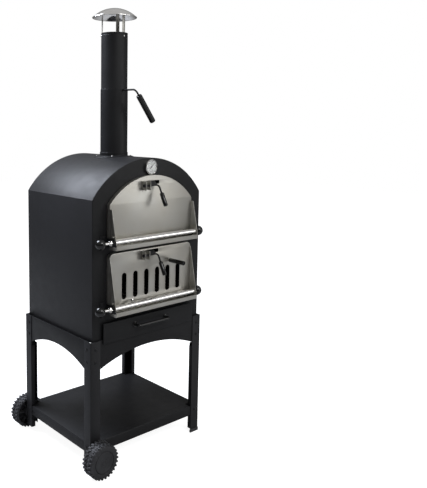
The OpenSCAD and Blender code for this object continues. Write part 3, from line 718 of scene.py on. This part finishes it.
def build_wheels():
    wheel = wheel_shape()
    cap = cap_shape()
    for end in ("front", "back"):
        box = Span("wheel_" + end)
        outer = box.y0 if end == "front" else box.y1
        outwards = ALONG_BACK if end == "front" else ALONG_FRONT
        place = move(box.x, outer, box.z) @ outwards
        tyre = Shape().add((wheel.points, wheel.faces), place)
        disc = Shape().add((cap.points, cap.faces), place)
        piece(f"{end}_wheel_tyre", tyre, "wheel_" + end, sharp=35)
        piece(f"{end}_wheel_disc", disc, "hub_cap_" + end)


def build_axles():
    shape = Shape()
    for side, direction in ((-1, ALONG_BACK), (1, ALONG_FRONT)):
        axle = Shape()
        seat = -WHEEL.y0 - 12
        leg_face = seat + LEG.y0
        axle.add(rod(leg_face + LEG_T + 12, 5, 0.6))
        axle.add(lathe([(0, -5), (7, -5), (9, -3.5), (9, 0), (0, 0)], 48))
        axle.add(rod(5.2, 9, 0.4), move(0, 0, leg_face - 5.2))
        axle.add(hex_nut(17, 7, 5), move(0, 0, leg_face + LEG_T))
        shape.add((axle.points, axle.faces), move(WHEEL.x, side * seat, WHEEL.z) @ direction)
    piece("wheel_axle_bolts", shape, "wheel_axles")


# ---------- oven body ----------

ROOF_RISE = RIDGE_Z - EAVE_Z
ROOF_R = (HALF_W**2 + ROOF_RISE**2) / (2 * ROOF_RISE)
ARCH_Z = RIDGE_Z - ROOF_R
CORNER_R = 2.6


def arched(half, radius, z0, steps=96):
    """Outline with upright sides and a top that is an arc about the roof's centre."""
    swing = math.degrees(math.asin(half / radius))
    return [(-half, z0), (half, z0)] + arc((0, ARCH_Z), radius, 90 - swing, 90 + swing, steps)


def round_top(half, z0, z1, radius):
    """Outline with its two top corners rounded."""
    return (
        [(-half, z0), (half, z0)]
        + arc((half - radius, z1 - radius), radius, 0, 90, 10)
        + arc((-half + radius, z1 - radius), radius, 90, 180, 10)
    )


RODS = Span("hinge_rods")
ROD_R = 5
ROD_Y = RODS.y
UPPER_ROD = RODS.z1 - ROD_R
LOWER_ROD = RODS.z0 + ROD_R
DOOR_HALF = Span("upper_rail").x1 + SHEET
DOOR_Y = Span("upper_latch_bracket").y1
UPPER = Span("upper_door")
LOWER = Span("lower_door")
UPPER_R = UPPER.z1 - ARCH_Z
DOORWAY_IN = 20
TRAY = Span("ash_tray")


def build_front_panel():
    """Front with its rim folded back round the body, and openings for the doors and the drawer."""
    rim = arched(HALF_W, ROOF_R, BODY_Z)
    upper = arched(DOOR_HALF - DOORWAY_IN, UPPER_R - 10, UPPER_ROD + 15)
    lower = rectangle(-DOOR_HALF + DOORWAY_IN, DOOR_HALF - DOORWAY_IN, LOWER_ROD + 15, LOWER.z1 - 4, 3)
    drawer = rectangle(TRAY.x0 - 2, TRAY.x1 + 2, TRAY.z0 - 2, TRAY.z1 + 3, 2)
    face = slab([rim, upper, lower, drawer], 0, 2 * CORNER_R, CORNER_R, 5)
    sheet = Shape().add(face, move(0, FRONT) @ ALONG_BACK)
    # Only the outer rim is a fold, and the face inside it is one sheet thick
    for i, p in enumerate(sheet.points):
        inside = abs(p.x) < HALF_W - 2 * CORNER_R and p.z < 0.5 * (RIDGE_Z + UPPER.z1)
        if inside and p.y > FRONT + SHEET:
            sheet.points[i] = Vector((p.x, FRONT + SHEET, p.z))
    piece("front_panel_sheet", sheet, "front_panel")


def build_walls():
    back = slab([arched(HALF_W, ROOF_R, BODY_Z)], 0, 2 * CORNER_R, CORNER_R, 5)
    piece("back_panel_sheet", Shape().add(back, move(0, BACK) @ ALONG_FRONT), "back_panel")
    for node in ("left_wall", "right_wall"):
        box = Span(node)
        wall = block((box.x0, box.x1), (FRONT + CORNER_R, BACK - CORNER_R), (BODY_Z, EAVE_Z), 0.3)
        piece(node + "_sheet", Shape().add(wall), node)
    swing = math.degrees(math.asin(HALF_W / ROOF_R))
    outer = arc((0, ARCH_Z), ROOF_R, 90 - swing, 90 + swing, 96)
    inner = arc((0, ARCH_Z), ROOF_R - SHEET, 90 + swing, 90 - swing, 96)
    roof = slab([outer + inner], 0, BACK - FRONT - 2 * CORNER_R, 0.3)
    piece("roof_sheet", Shape().add(roof, move(0, FRONT + CORNER_R) @ ALONG_BACK), "roof")
    box = Span("floor_plate")
    floor = block((box.x0, box.x1), (box.y0, box.y1), (box.z0, box.z1), 0.3)
    piece("floor_sheet", Shape().add(floor), "floor_plate")


def build_fittings():
    """Grate, rack and stone inside the chambers."""
    box = Span("fire_grate")
    bar = 8
    shape = Shape()
    rim = rectangle(box.x0, box.x1, box.y0, box.y1, 2)
    gap = rectangle(box.x0 + bar, box.x1 - bar, box.y0 + bar, box.y1 - bar, 1)
    shape.add(slab([rim, gap], box.z0, box.z1, 0.8))
    bars = 15
    pitch = (box.x1 - box.x0 - 2 * bar) / (bars + 1)
    for i in range(1, bars + 1):
        x = box.x0 + bar + i * pitch
        shape.add(block((x - 3, x + 3), (box.y0 + 1, box.y1 - 1), (box.z0 + 1, box.z1 - 1), 0.8))
    piece("fire_grate_bars", shape, "fire_grate")

    box = Span("stone_rack")
    thick, thin, overhang = 3.5, 2.5, 6
    shape = Shape()
    for y in (box.y0 + overhang, box.y1 - overhang):
        shape.add(rod(box.x1 - box.x0, thick), move(box.x0, y, box.z0 + thick) @ ALONG_X)
    wires = 9
    for i in range(wires):
        x = box.x0 + 8 + i * (box.x1 - box.x0 - 16) / (wires - 1)
        shape.add(rod(box.y1 - box.y0, thin), move(x, box.y0, box.z1 - thin) @ ALONG_BACK)
    piece("stone_rack_wires", shape, "stone_rack")

    box = Span("pizza_stone")
    stone = slab([rectangle(box.x0, box.x1, box.y0, box.y1, 12, 8)], box.z0, box.z1, 2, 4)
    piece("pizza_stone_slab", Shape().add(stone), "pizza_stone")


# ---------- ash drawer ----------


def build_drawer():
    shape = Shape()
    tray = pan((TRAY.x1 - TRAY.x0) / 2, (TRAY.y1 - TRAY.y0) / 2, TRAY.z1 - TRAY.z0, 1.2, 2, 3)
    shape.add(tray, move(0, TRAY.y, TRAY.z0))
    piece("ash_tray_pan", shape, "ash_tray")

    box = Span("drawer_front")
    front = pan(box.x1, (box.z1 - box.z0) / 2, box.y1 - box.y0, SHEET, 2, 2.5)
    piece("drawer_front_pan", Shape().add(front, move(0, box.y0, box.z) @ ALONG_BACK), "drawer_front")

    box = Span("drawer_handle")
    bar_r = 5
    half = box.x1 - 10
    z = box.z
    back_y, bar_y = box.y1 - 2, box.y0 + bar_r
    path = [(-half, back_y, z), (-half, bar_y, z), (half, bar_y, z), (half, back_y, z)]
    shape = Shape().add(sweep(fillet(path, 7, 8, closed=False), bar_r))
    foot = [(0, 0), (9.4, 0), (10, 0.6), (10, 1.8), (8.5, 2.5), (0, 2.5)]
    for side in SIDES:
        shape.add(lathe(foot, 40), move(side * half, box.y1, z) @ ALONG_FRONT)
    piece("drawer_bow_handle", shape, "drawer_handle")


# ---------- chimney ----------


def build_flange():
    box = Span("flue_flange")
    reach = box.x1
    pipe = Span("lower_pipe")
    bore = pipe.x1 + 0.3
    collar = bore + 1.5

    def roof_z(x):
        return ARCH_Z + math.sqrt((ROOF_R + 0.05) ** 2 - x * x)

    def ring(radius, up):
        made = []
        for i in range(96):
            a = 2 * math.pi * i / 96
            x = radius * math.cos(a)
            made.append((x, radius * math.sin(a), roof_z(x) + up))
        return made

    def level(radius, z):
        return [(x, y, z) for x, y in arc((0, 0), radius, 0, 360 - 360 / 96, 95)]

    top = box.z1
    rings = [
        ring(bore, 0), ring(reach, 0), ring(reach, 1.4), ring(reach - 0.6, 2.0), ring(collar + 2, 2.0),
        ring(collar + 0.6, 2.5), ring(collar, 3.6), level(collar, top - 0.5), level(collar - 0.5, top),
        level(bore + 0.3, top), level(bore, top - 0.3),
    ]
    piece("flue_flange_saddle", Shape().add(loft(rings, wrap=True)), "flue_flange")


PIPE_T = 1.3


def build_pipes():
    box = Span("lower_pipe")
    shape = Shape().add(sleeve(box.z1 - box.z0, box.x1, box.x1 - PIPE_T, 0.4, 128), move(0, 0, box.z0))
    piece("lower_pipe_tube", shape, "lower_pipe")
    box = Span("upper_pipe")
    radius = box.x1
    top = box.z1
    profile = [
        (radius, box.z0), (radius, top - 9), (radius - 0.5, top - 8), (radius - 0.5, top - 6.6),
        (radius, top - 5.6), (radius, top - 0.4), (radius - 0.4, top),
        (radius - PIPE_T + 0.3, top), (radius - PIPE_T, top - 0.4),
        (radius - PIPE_T, box.z0),
    ]
    piece("upper_pipe_tube", Shape().add(lathe(profile, 128, wrap=True)), "upper_pipe")


CAP_T = 1.0


def build_cap():
    box = Span("cap_dome")
    rim_r = box.x1 - 0.05
    rim_z = box.z0 + 1.0
    rise = box.z1 - rim_z
    dome_r = (rim_r**2 + rise**2) / (2 * rise)
    centre = box.z1 - dome_r
    top = 90 - math.degrees(math.asin((rim_r - 1.2) / dome_r))
    outer = arc((0, centre), dome_r, top, 90, 40)
    inner = arc((0, centre), dome_r - CAP_T, 90, top, 40)
    outer[-1] = (0, outer[-1][1])
    inner[0] = (0, inner[0][1])
    bead = arc((rim_r - 1.55, rim_z + 0.5), 1.5, -150, 60, 7)
    profile = inner + bead + outer
    piece("cap_dome_spun", Shape().add(lathe(profile, 128)), "cap_dome")


def cap_under(radius):
    """Height of the dome's inside at a distance from its axis."""
    box = Span("cap_dome")
    rise = box.z1 - box.z0 - 1
    dome_r = (box.x1**2 + rise**2) / (2 * rise)
    return box.z1 - dome_r + math.sqrt((dome_r - CAP_T) ** 2 - radius * radius)


STRAP_ANGLES = (156, 276, 36)
FLANGE_SCREWS_AT = 61


def build_straps():
    top = Span("upper_pipe").z1
    half = 6.5
    inside = math.sqrt((Span("upper_pipe").x1 - PIPE_T) ** 2 - half**2) - SHEET - 0.1
    strap = Shape()
    low = top - 24
    up = cap_under(inside + SHEET) - 0.4
    outline = [(-half, up), (-half, low + 3), (-half + 3, low), (half - 3, low), (half, low + 3), (half, up)]
    strap.add(slab([flat(fillet(outline, 2.5, 4))], 0, SHEET, 0.3), move(inside) @ ALONG_X)
    shape = Shape()
    for angle in STRAP_ANGLES:
        shape.add((strap.points, strap.faces), turn(angle, "Z"))
    piece("cap_strap_set", shape, "cap_straps")


def screw_head(radius, height):
    """Pan head with a hollow in its top, from zero up Z."""
    return lathe(
        [(0, 0), (radius, 0), (radius, height * 0.45), (radius * 0.8, height * 0.85), (radius * 0.45, height),
         (radius * 0.25, height), (radius * 0.1, height * 0.45), (0, height * 0.4)],
        32,
    )


def build_chimney_screws():
    shape = Shape()
    top = Span("upper_pipe").z1
    pipe_r = Span("upper_pipe").x1
    for angle in STRAP_ANGLES:
        shape.add(screw_head(3.4, 2.4), turn(angle, "Z") @ move(pipe_r, 0, top - 12) @ ALONG_X)
    for x, y in arc((0, 0), FLANGE_SCREWS_AT, 45, 315, 3):
        z = ARCH_Z + math.sqrt((ROOF_R + 2) ** 2 - x * x)
        shape.add(screw_head(3.6, 2.6), move(x, y, z) @ turn(math.degrees(math.asin(x / ROOF_R)), "Y"))
    piece("chimney_screw_set", shape, "chimney_screws")


LEVER_LEAN = 37
LEVER_REACH = 117
LEVER_L = 125
DAMPER_ROD_R = 3.5


def build_damper():
    pipe = Span("lower_pipe")
    axis_z = pipe.z1 - 4
    place = move(0, 0, axis_z) @ turn(-90, "Z") @ turn(LEVER_LEAN, "X")
    plate = lathe([(0, 0), (42.6, 0), (43, 0.4), (43, 1.1), (42.6, 1.5), (0, 1.5)], 96)
    shape = Shape().add(plate, place @ move(0, DAMPER_ROD_R - 0.4, 0) @ ALONG_BACK)
    piece("damper_plate_disc", shape, "damper_plate")

    path = [(-pipe.x1 - 8, 0, 0), (LEVER_REACH, 0, 0), (LEVER_REACH, 0, -LEVER_L)]
    path = fillet(path, 14, 12, closed=False)
    shape = Shape().add(sweep(path, DAMPER_ROD_R - 0.3), place)
    end_cap = lathe([(0, 0), (5.4, 0), (6, 0.6), (6, 3.4), (5.4, 4), (0, 4)], 32)
    shape.add(end_cap, place @ move(-pipe.x1 - 8) @ ALONG_X)
    piece("damper_rod_bent", shape, "damper_rod")

    grip_r, start, end = 10.5, -25, -139
    rings = 21
    profile = [(0, end), (grip_r - 2, end), (grip_r - 0.6, end + 1)]
    pitch = (start - end - 6) / rings
    for i in range(rings):
        z = end + 3 + i * pitch
        profile += [(grip_r - 0.7, z), (grip_r, z + pitch * 0.3)]
        profile += [(grip_r, z + pitch * 0.7), (grip_r - 0.7, z + pitch)]
    profile += [(grip_r - 0.6, start - 1.5), (grip_r - 2, start), (0, start)]
    grip = Shape().add(lathe(profile, 48), place @ move(LEVER_REACH))
    piece("damper_grip_ribbed", grip, "damper_grip", sharp=50)


# ---------- thermometer ----------


def build_thermometer():
    box = Span("thermometer_case")
    radius = box.x1
    z = box.z
    y = box.y0
    place = move(0, y, z) @ ALONG_BACK
    depth = FRONT - y
    bezel = [
        (radius - 3, 5.5), (radius - 3, 1.2), (radius - 2.6, 0.4), (radius - 1.6, 0), (radius - 0.7, 0.3),
        (radius, 1.4), (radius, 3.2), (radius - 0.6, 3.8), (radius - 0.6, depth - 0.3), (0, depth - 0.3),
        (0, 5.5),
    ]
    shape = Shape().add(lathe(bezel, 96), place)
    shape.add(rod(55, 4, 1.5), move(0, FRONT - 1, z) @ ALONG_BACK)
    shape.add(hex_nut(14, 5, 4), move(0, FRONT + SHEET + 0.3, z) @ ALONG_BACK)
    piece("thermometer_bezel", shape, "thermometer_case")

    dial = lathe([(0, 4.2), (radius - 3.2, 4.2), (radius - 3.2, 5.2), (0, 5.2)], 72)
    piece("thermometer_dial_plate", Shape().add(dial, place), "thermometer_dial")
    ticks = Shape()
    count = 37
    for i in range(count):
        angle = -135 + 270 * i / (count - 1)
        half, inner = (0.32, 16.0) if i % 4 == 0 else (0.18, 18.4)
        tick = block((-half, half), (inner, 20.4), (3.95, 4.2), 0.05)
        ticks.add(tick, place @ turn(angle, "Z"))
    sector = arc((0, 0), 14.2, 20, 160, 40) + arc((0, 0), 13.4, 160, 20, 40)
    ticks.add(slab([sector], 3.95, 4.2, 0.05), place)
    piece("thermometer_scale", ticks, "thermometer_dial", slot="needle_black")

    needle = Shape()
    aim = place @ turn(45, "Z")
    pointer = flat(fillet([(-1.5, -7), (1.5, -7), (0.4, 19), (-0.4, 19)], 0.4, 3))
    hub = [(0, 2.0), (1.6, 2.1), (2.6, 2.6), (2.6, 3.4), (1.2, 3.4), (1.2, 5.2), (0, 5.2)]
    needle.add(slab([pointer], 2.4, 3.2, 0.15), aim).add(lathe(hub, 32), aim)
    piece("thermometer_pointer", needle, "thermometer_needle")

    lens = lathe([(0, 0.5), (12, 0.6), (radius - 3.2, 1.2), (radius - 3.2, 1.7), (0, 1.7)], 72)
    piece("thermometer_window", Shape().add(lens, place), "thermometer_lens")


# ---------- hinges ----------

BRACKET_X = 191
BRACKET_T = 3


def build_brackets():
    boss, nose, nose_top = 12, 21, -4.2
    rear = FRONT - ROD_Y
    shape = Shape()
    plate = [(rear, -boss), (rear, boss)] + arc((0, 0), boss, 90, 196, 14)
    plate += [(-nose, nose_top), (-nose, -boss + 2), (-nose + 2, -boss)]
    plate = flat(fillet(plate, 1.2, 3))
    hole = arc((0, 0), ROD_R + 0.05, 0, 345, 23)
    for side in SIDES:
        flip = Matrix.Diagonal((side, 1, 1, 1))
        for z in (UPPER_ROD, LOWER_ROD):
            side_plate = slab([plate, hole], BRACKET_X, BRACKET_X + BRACKET_T, 0.5)
            shape.add(side_plate, flip @ move(0, ROD_Y, z) @ ALONG_X)
            foot = slab([rectangle(BRACKET_X, BRACKET_X + 26, -18, 18, 3)], 0, BRACKET_T, 0.5)
            shape.add(foot, flip @ move(0, FRONT, z) @ ALONG_FRONT)
            screw_place = move(BRACKET_X + 15, FRONT - BRACKET_T, z + 12)
            shape.add(screw_head(3.5, 2), flip @ screw_place @ ALONG_FRONT)
    piece("hinge_bracket_set", shape, "hinge_brackets")


def build_rods():
    shape = Shape()
    for z in (UPPER_ROD, LOWER_ROD):
        shape.add(rod(RODS.x1 - RODS.x0, ROD_R, 0.6), move(RODS.x0, ROD_Y, z) @ ALONG_X)
    piece("hinge_rod_bars", shape, "hinge_rods")


def build_knobs():
    box = Span("rod_knobs")
    radius = (box.z1 - box.z0 - (UPPER_ROD - LOWER_ROD)) / 2
    flat_at = 11
    start = math.degrees(math.acos(flat_at / radius))
    ball = arc((0, 0), radius, start - 90, 90, 40)
    ball[-1] = (0, ball[-1][1])
    neck = [(0, -flat_at), (7.5, -flat_at), (8.2, -flat_at + 0.2)]
    profile = neck + ball
    shape = Shape()
    mirror = Matrix.Diagonal((-1, 1, 1, 1))
    for z in (UPPER_ROD, LOWER_ROD):
        shape.add(lathe(profile, 72), move(box.x1 - radius, ROD_Y, z) @ ALONG_X)
        shape.add(lathe(profile, 72), move(box.x0 + radius, ROD_Y, z) @ mirror @ ALONG_X)
    piece("rod_knob_balls", shape, "rod_knobs")


def build_nuts():
    box = Span("rod_nuts")
    shape = Shape()
    collar = [(ROD_R, 8), (6.4, 8), (7, 8.6), (7, 12.2), (6.2, 13), (ROD_R, 13)]
    for z in (UPPER_ROD, LOWER_ROD):
        place = move(box.x1, ROD_Y, z) @ Matrix.Diagonal((-1, 1, 1, 1)) @ ALONG_X
        shape.add(hex_nut(17, 8, ROD_R), place)
        shape.add(lathe(collar, 48, wrap=True), place)
    piece("rod_nut_set", shape, "rod_nuts")


# ---------- doors ----------

LATCH_OUT = 14
UPPER_LATCH = Span("upper_latch_bracket").z
LOWER_LATCH = Span("lower_latch_bracket").z
TRAY_DROP = UPPER_ROD - UPPER.z0
LIP = 14.5
SLOTS = 6
SLOT_PITCH = 50
SLOT_W = 20
SLOT_Z = (583, 674)
UPPER_CHEEK_Z = 893
LOWER_CHEEK_Z = 728


def ribbon(path, t):
    """Outline of a strip of thickness t on the left of an open path."""
    path = [Vector(p[:2]) for p in path]
    other = []
    for i, p in enumerate(path):
        ahead = (path[min(i + 1, len(path) - 1)] - path[max(i - 1, 0)]).normalized()
        other.append(p + Vector((-ahead.y, ahead.x)) * t)
    return [tuple(p) for p in path] + [tuple(p) for p in reversed(other)]


def door_shape(outline_of, rod_z, cheek_z, cheek_out, holes):
    """One folded door: its face, the rim round its top, two cheeks, a tray, a lip and stop pins."""
    shape = Shape()
    bottom = rod_z - TRAY_DROP
    face = outline_of(bottom)
    shape.add(slab([face] + holes, 0, SHEET, 0.4), move(0, DOOR_Y + SHEET) @ ALONG_FRONT)
    rim = outline_of(rod_z)
    rim = rim[1:] + rim[:1]
    depth = FRONT - 0.3 - DOOR_Y
    shape.add(slab([ribbon(rim, SHEET)], 0.8, depth, 0.3), move(0, DOOR_Y) @ ALONG_BACK_KEEP)
    lip_y = UPPER.y0
    cheek = [
        (DOOR_Y + 0.5, cheek_z), (DOOR_Y - cheek_out, cheek_z), (lip_y, bottom + LIP), (lip_y, bottom),
        (DOOR_Y + 0.5, bottom),
    ]
    cheek = flat(fillet(cheek, 1.2, 3))
    hole = arc((ROD_Y, rod_z), ROD_R + 0.06, 0, 345, 23)
    pin = rod(5.7 + 0.5, 2.5, 0.4, 24)
    for side in SIDES:
        flip = Matrix.Diagonal((side, 1, 1, 1))
        shape.add(slab([cheek, hole], DOOR_HALF - SHEET, DOOR_HALF, 0.4), flip @ ALONG_X)
        shape.add(pin, flip @ move(DOOR_HALF - 0.5, ROD_Y - 3, rod_z + 19) @ ALONG_X)
    fold = fillet([(DOOR_Y + SHEET, bottom), (lip_y, bottom), (lip_y, bottom + LIP)], 2.2, 5, closed=False)
    shape.add(slab([ribbon(fold, -SHEET)], -DOOR_HALF + 0.2, DOOR_HALF - 0.2, 0.3), ALONG_X)
    return shape


def air_slots(wider):
    """Outlines of the row of air slots, each side wider by a margin."""
    made = []
    for i in range(SLOTS):
        x = SLOT_PITCH * (i - (SLOTS - 1) / 2)
        made.append(round_slot(x, SLOT_Z[0] - wider, x, SLOT_Z[1] + wider, SLOT_W + 2 * wider))
    return made


def latch_window(axis_z):
    return rectangle(-25, 29, axis_z + 2.5, axis_z + 15, 1.5, 3)


def build_doors():
    shape = door_shape(
        lambda z: arched(DOOR_HALF, UPPER_R, z), UPPER_ROD, UPPER_CHEEK_Z, 11, [latch_window(UPPER_LATCH)]
    )
    piece("upper_door_sheet", shape, "upper_door")
    knob = Span("vent_knob")
    screw = Span("vent_screw")
    tracks = [
        round_slot(knob.x - 22, knob.z, knob.x, knob.z, 8.6),
        round_slot(screw.x - 22, screw.z, screw.x, screw.z, 6.6),
    ]
    holes = [latch_window(LOWER_LATCH)] + air_slots(0) + tracks
    shape = door_shape(lambda z: round_top(DOOR_HALF, z, LOWER.z1, 17), LOWER_ROD, LOWER_CHEEK_Z, 2, holes)
    piece("lower_door_sheet", shape, "lower_door")


def build_door_rails():
    for node in ("upper_rail", "lower_rail"):
        box = Span(node)
        radius = (box.z1 - box.z0) / 2
        tube = sleeve(box.x1 - box.x0, radius, radius - 1.2, 0.3, 96)
        piece(node + "_tube", Shape().add(tube, move(box.x0, box.y, box.z) @ ALONG_X), node)


# ---------- latches ----------

LATCH_ROD_R = 3.5
EARS = (-50, -31)
EAR_T = 2
CRANK_X = 14
LATCH_LEAN = 28
LATCH_LEVER_L = 66


def build_latch(level, axis_z):
    place = move(0, DOOR_Y - LATCH_OUT, axis_z)
    shape = Shape()
    base = rectangle(EARS[0], EARS[1] + EAR_T, -15, 15, 1.5, 4)
    shape.add(slab([base], 0, EAR_T, 0.4), place @ move(0, LATCH_OUT) @ ALONG_FRONT)
    ear = flat(fillet([(-8, -15), (LATCH_OUT, -15), (LATCH_OUT, 15), (-8, 15)], 1.5, 4))
    hole = arc((0, 0), LATCH_ROD_R + 0.06, 0, 345, 23)
    for x in EARS:
        shape.add(slab([ear, hole], x, x + EAR_T, 0.4), place @ ALONG_X)
    piece(f"{level}_latch_ears", shape, f"{level}_latch_bracket")

    wire = LATCH_ROD_R - 0.5
    lean = move(CRANK_X) @ turn(-LATCH_LEAN, "X")
    lever_end = lean @ Vector((0, 0, -LATCH_LEVER_L))
    path = fillet([(EARS[0] - 3, 0, 0), (CRANK_X, 0, 0), lever_end], 11, 10, closed=False)
    shape = Shape().add(sweep(path, wire), place)
    shape.add(rod(EARS[1] - EARS[0] + 4, LATCH_ROD_R, 0.3), place @ move(EARS[0] - 0.3) @ ALONG_X)
    head = [(0, 0), (4.4, 0), (5.5, 1.1), (5.5, 3.8), (4.8, 4.7), (0, 4.7)]
    shape.add(lathe(head, 32), place @ move(EARS[0] - 5) @ ALONG_X)
    blade = [(-1, 1.5), (11.2, 13.6), (36, 13.6), (36, 11.6), (12, 11.6), (1.5, -1)]
    shape.add(slab([flat(fillet(blade, 0.5, 2))], -20, 6, 0.3), place @ ALONG_X)
    piece(f"{level}_latch_wire", shape, f"{level}_latch_rod")

    radius, start, end = 7.5, -29, -78
    profile = [(0, end), (radius - 2, end), (radius - 0.5, end + 0.7), (radius, end + 2)]
    profile += [(radius, start - 5), (radius - 0.6, start - 3.5), (radius - 2.2, start - 0.6)]
    profile += [(radius - 3, start), (0, start)]
    handgrip = Shape().add(lathe(profile, 48), place @ lean)
    piece(f"{level}_latch_handgrip", handgrip, f"{level}_latch_grip", sharp=40)


# ---------- air vent ----------


def build_vent():
    slider = Span("vent_slider")
    knob = Span("vent_knob")
    screw = Span("vent_screw")
    y0 = DOOR_Y + SHEET + 0.3
    plate = slab([rectangle(slider.x0, slider.x1, slider.z0, slider.z1, 3)] + air_slots(1), 0, 1.2, 0.3)
    shape = Shape().add(plate, move(0, y0 + 1.2) @ ALONG_FRONT)
    shape.add(rod(y0 - DOOR_Y + 1, 3, 0.2), move(screw.x, y0, screw.z) @ ALONG_FRONT)
    shape.add(rod(y0 - DOOR_Y + 20, 4, 0.4), move(knob.x, y0, knob.z) @ ALONG_FRONT)
    piece("vent_slider_plate", shape, "vent_slider")

    radius = (knob.x1 - knob.x0) / 2
    length = knob.y1 - knob.y0
    profile = [(0, 0), (radius - 1.5, 0), (radius, 1.5), (radius, length - 2), (radius - 0.6, length - 0.8),
               (radius - 2, length), (2.5, length), (2.2, length - 1.5), (0, length - 1.5)]
    bar = Shape().add(lathe(profile, 48), move(knob.x, knob.y1, knob.z) @ ALONG_FRONT)
    piece("vent_knob_bar", bar, "vent_knob")
    head = Shape().add(screw_head(5, 2), move(screw.x, screw.y1, screw.z) @ ALONG_FRONT)
    piece("vent_screw_head", head, "vent_screw")


# ---------- stage ----------


def build_stage():
    mesh = bpy.data.meshes.new("studio_floor")
    half = 9
    mesh.from_pydata([(x, y, 0) for x, y in rectangle(-half, half, -half, half)], [], [[0, 1, 2, 3]])
    floor = bpy.data.objects.new("studio_floor", mesh)
    bpy.context.scene.collection.objects.link(floor)
    n = Nodes("studio_white").shaded(specular=0.1, roughness=0.9, glow=(1, 1, 1, 1))
    n.colour(n.blend(n.spread(n.noise(0.6, 2), 0, 1), (0.42, 0.42, 0.42), (0.40, 0.40, 0.40)))
    # The floor looks white but throws little light back on the oven
    glow = n.add("ShaderNodeMath", operation="MULTIPLY")
    glow.inputs[1].default_value = 0.92
    n.link(n.add("ShaderNodeLightPath").outputs["Is Camera Ray"], glow.inputs[0])
    n.link(glow.outputs["Value"], n.shader.inputs["Emission Strength"])
    mesh.materials.append(n.material)


def soft_light(name, place, aim, width, height, power, colour=(1, 1, 1)):
    """Area light at a place in metres about the oven's centre, turned to a point."""
    light = bpy.data.lights.new(name, "AREA")
    light.shape = "RECTANGLE"
    light.size = width
    light.size_y = height
    light.energy = power
    light.color = colour
    made = bpy.data.objects.new(name, light)
    bpy.context.scene.collection.objects.link(made)
    made.location = Vector(place) + CENTRE
    made.rotation_mode = "QUATERNION"
    made.rotation_quaternion = (Vector(aim) - Vector(place)).to_track_quat("-Z", "Y")


def build_world():
    """White where the camera sees it. It lights the oven weakly, and most of all from above."""
    world = bpy.data.worlds.new("studio")
    bpy.context.scene.world = world
    world.use_nodes = True
    tree = world.node_tree
    dim = tree.nodes["Background"]
    dim.inputs["Color"].default_value = (1, 1, 1, 1)
    way = tree.nodes.new("ShaderNodeTexCoord")
    height = tree.nodes.new("ShaderNodeSeparateXYZ")
    sky = tree.nodes.new("ShaderNodeMapRange")
    sky.interpolation_type = "SMOOTHSTEP"
    for socket, value in (("From Min", 0.0), ("From Max", 0.8), ("To Min", 0.05), ("To Max", 0.50)):
        sky.inputs[socket].default_value = value
    bright = tree.nodes.new("ShaderNodeBackground")
    bright.inputs["Strength"].default_value = 1.0
    bright.inputs["Color"].default_value = (1, 1, 1, 1)
    seen = tree.nodes.new("ShaderNodeLightPath")
    mix = tree.nodes.new("ShaderNodeMixShader")
    for start, end in (
        (way.outputs["Generated"], height.inputs["Vector"]),
        (height.outputs["Z"], sky.inputs["Value"]),
        (sky.outputs["Result"], dim.inputs["Strength"]),
        (seen.outputs["Is Camera Ray"], mix.inputs["Fac"]),
        (dim.outputs["Background"], mix.inputs[1]),
        (bright.outputs["Background"], mix.inputs[2]),
        (mix.outputs["Shader"], tree.nodes["World Output"].inputs["Surface"]),
    ):
        tree.links.new(start, end)


def build_lights():
    soft_light("front_softbox", (0.2, -2.7, 2.9), (0, -0.2, 0.8), 2.0, 1.2, 50)
    soft_light("top_softbox", (-0.9, 1.4, 2.9), (0, 0, 1.0), 1.6, 1.4, 150, (0.84, 0.89, 1.0))
    soft_light("door_fill", (1.9, -2.6, 1.3), (0, -0.2, 0.95), 1.2, 1.4, 14)


CAMERA_PLACE = (-1.4468, -1.7715, 1.1741)
CAMERA_TURN = -37.85
CAMERA_DIP = 6.66
CAMERA_ROLL = 0.18
LENS = 46.13
SHIFT = (0.2357, -0.1007)


def build_camera():
    data = bpy.data.cameras.new("camera")
    data.lens = LENS
    data.shift_x, data.shift_y = SHIFT
    camera = bpy.data.objects.new("camera", data)
    bpy.context.scene.collection.objects.link(camera)
    camera.location = Vector(CAMERA_PLACE) + CENTRE
    camera.rotation_euler = (
        Matrix.Rotation(math.radians(CAMERA_TURN), 3, "Z")
        @ Matrix.Rotation(math.radians(90 - CAMERA_DIP), 3, "X")
        @ Matrix.Rotation(math.radians(CAMERA_ROLL), 3, "Z")
    ).to_euler()
    bpy.context.scene.camera = camera


build_camera()
build_stage()
build_world()
build_lights()
build_legs()
build_aprons()
build_shelf()
build_foot_caps()
build_stand_bolts()
build_wheels()
build_axles()
build_front_panel()
build_walls()
build_fittings()
build_drawer()
build_flange()
build_pipes()
build_cap()
build_straps()
build_chimney_screws()
build_damper()
build_thermometer()
build_brackets()
build_rods()
build_knobs()
build_nuts()
build_doors()
build_door_rails()
build_latch("upper", UPPER_LATCH)
build_latch("lower", LOWER_LATCH)
build_vent()

bpy.context.scene.view_settings.view_transform = "Standard"
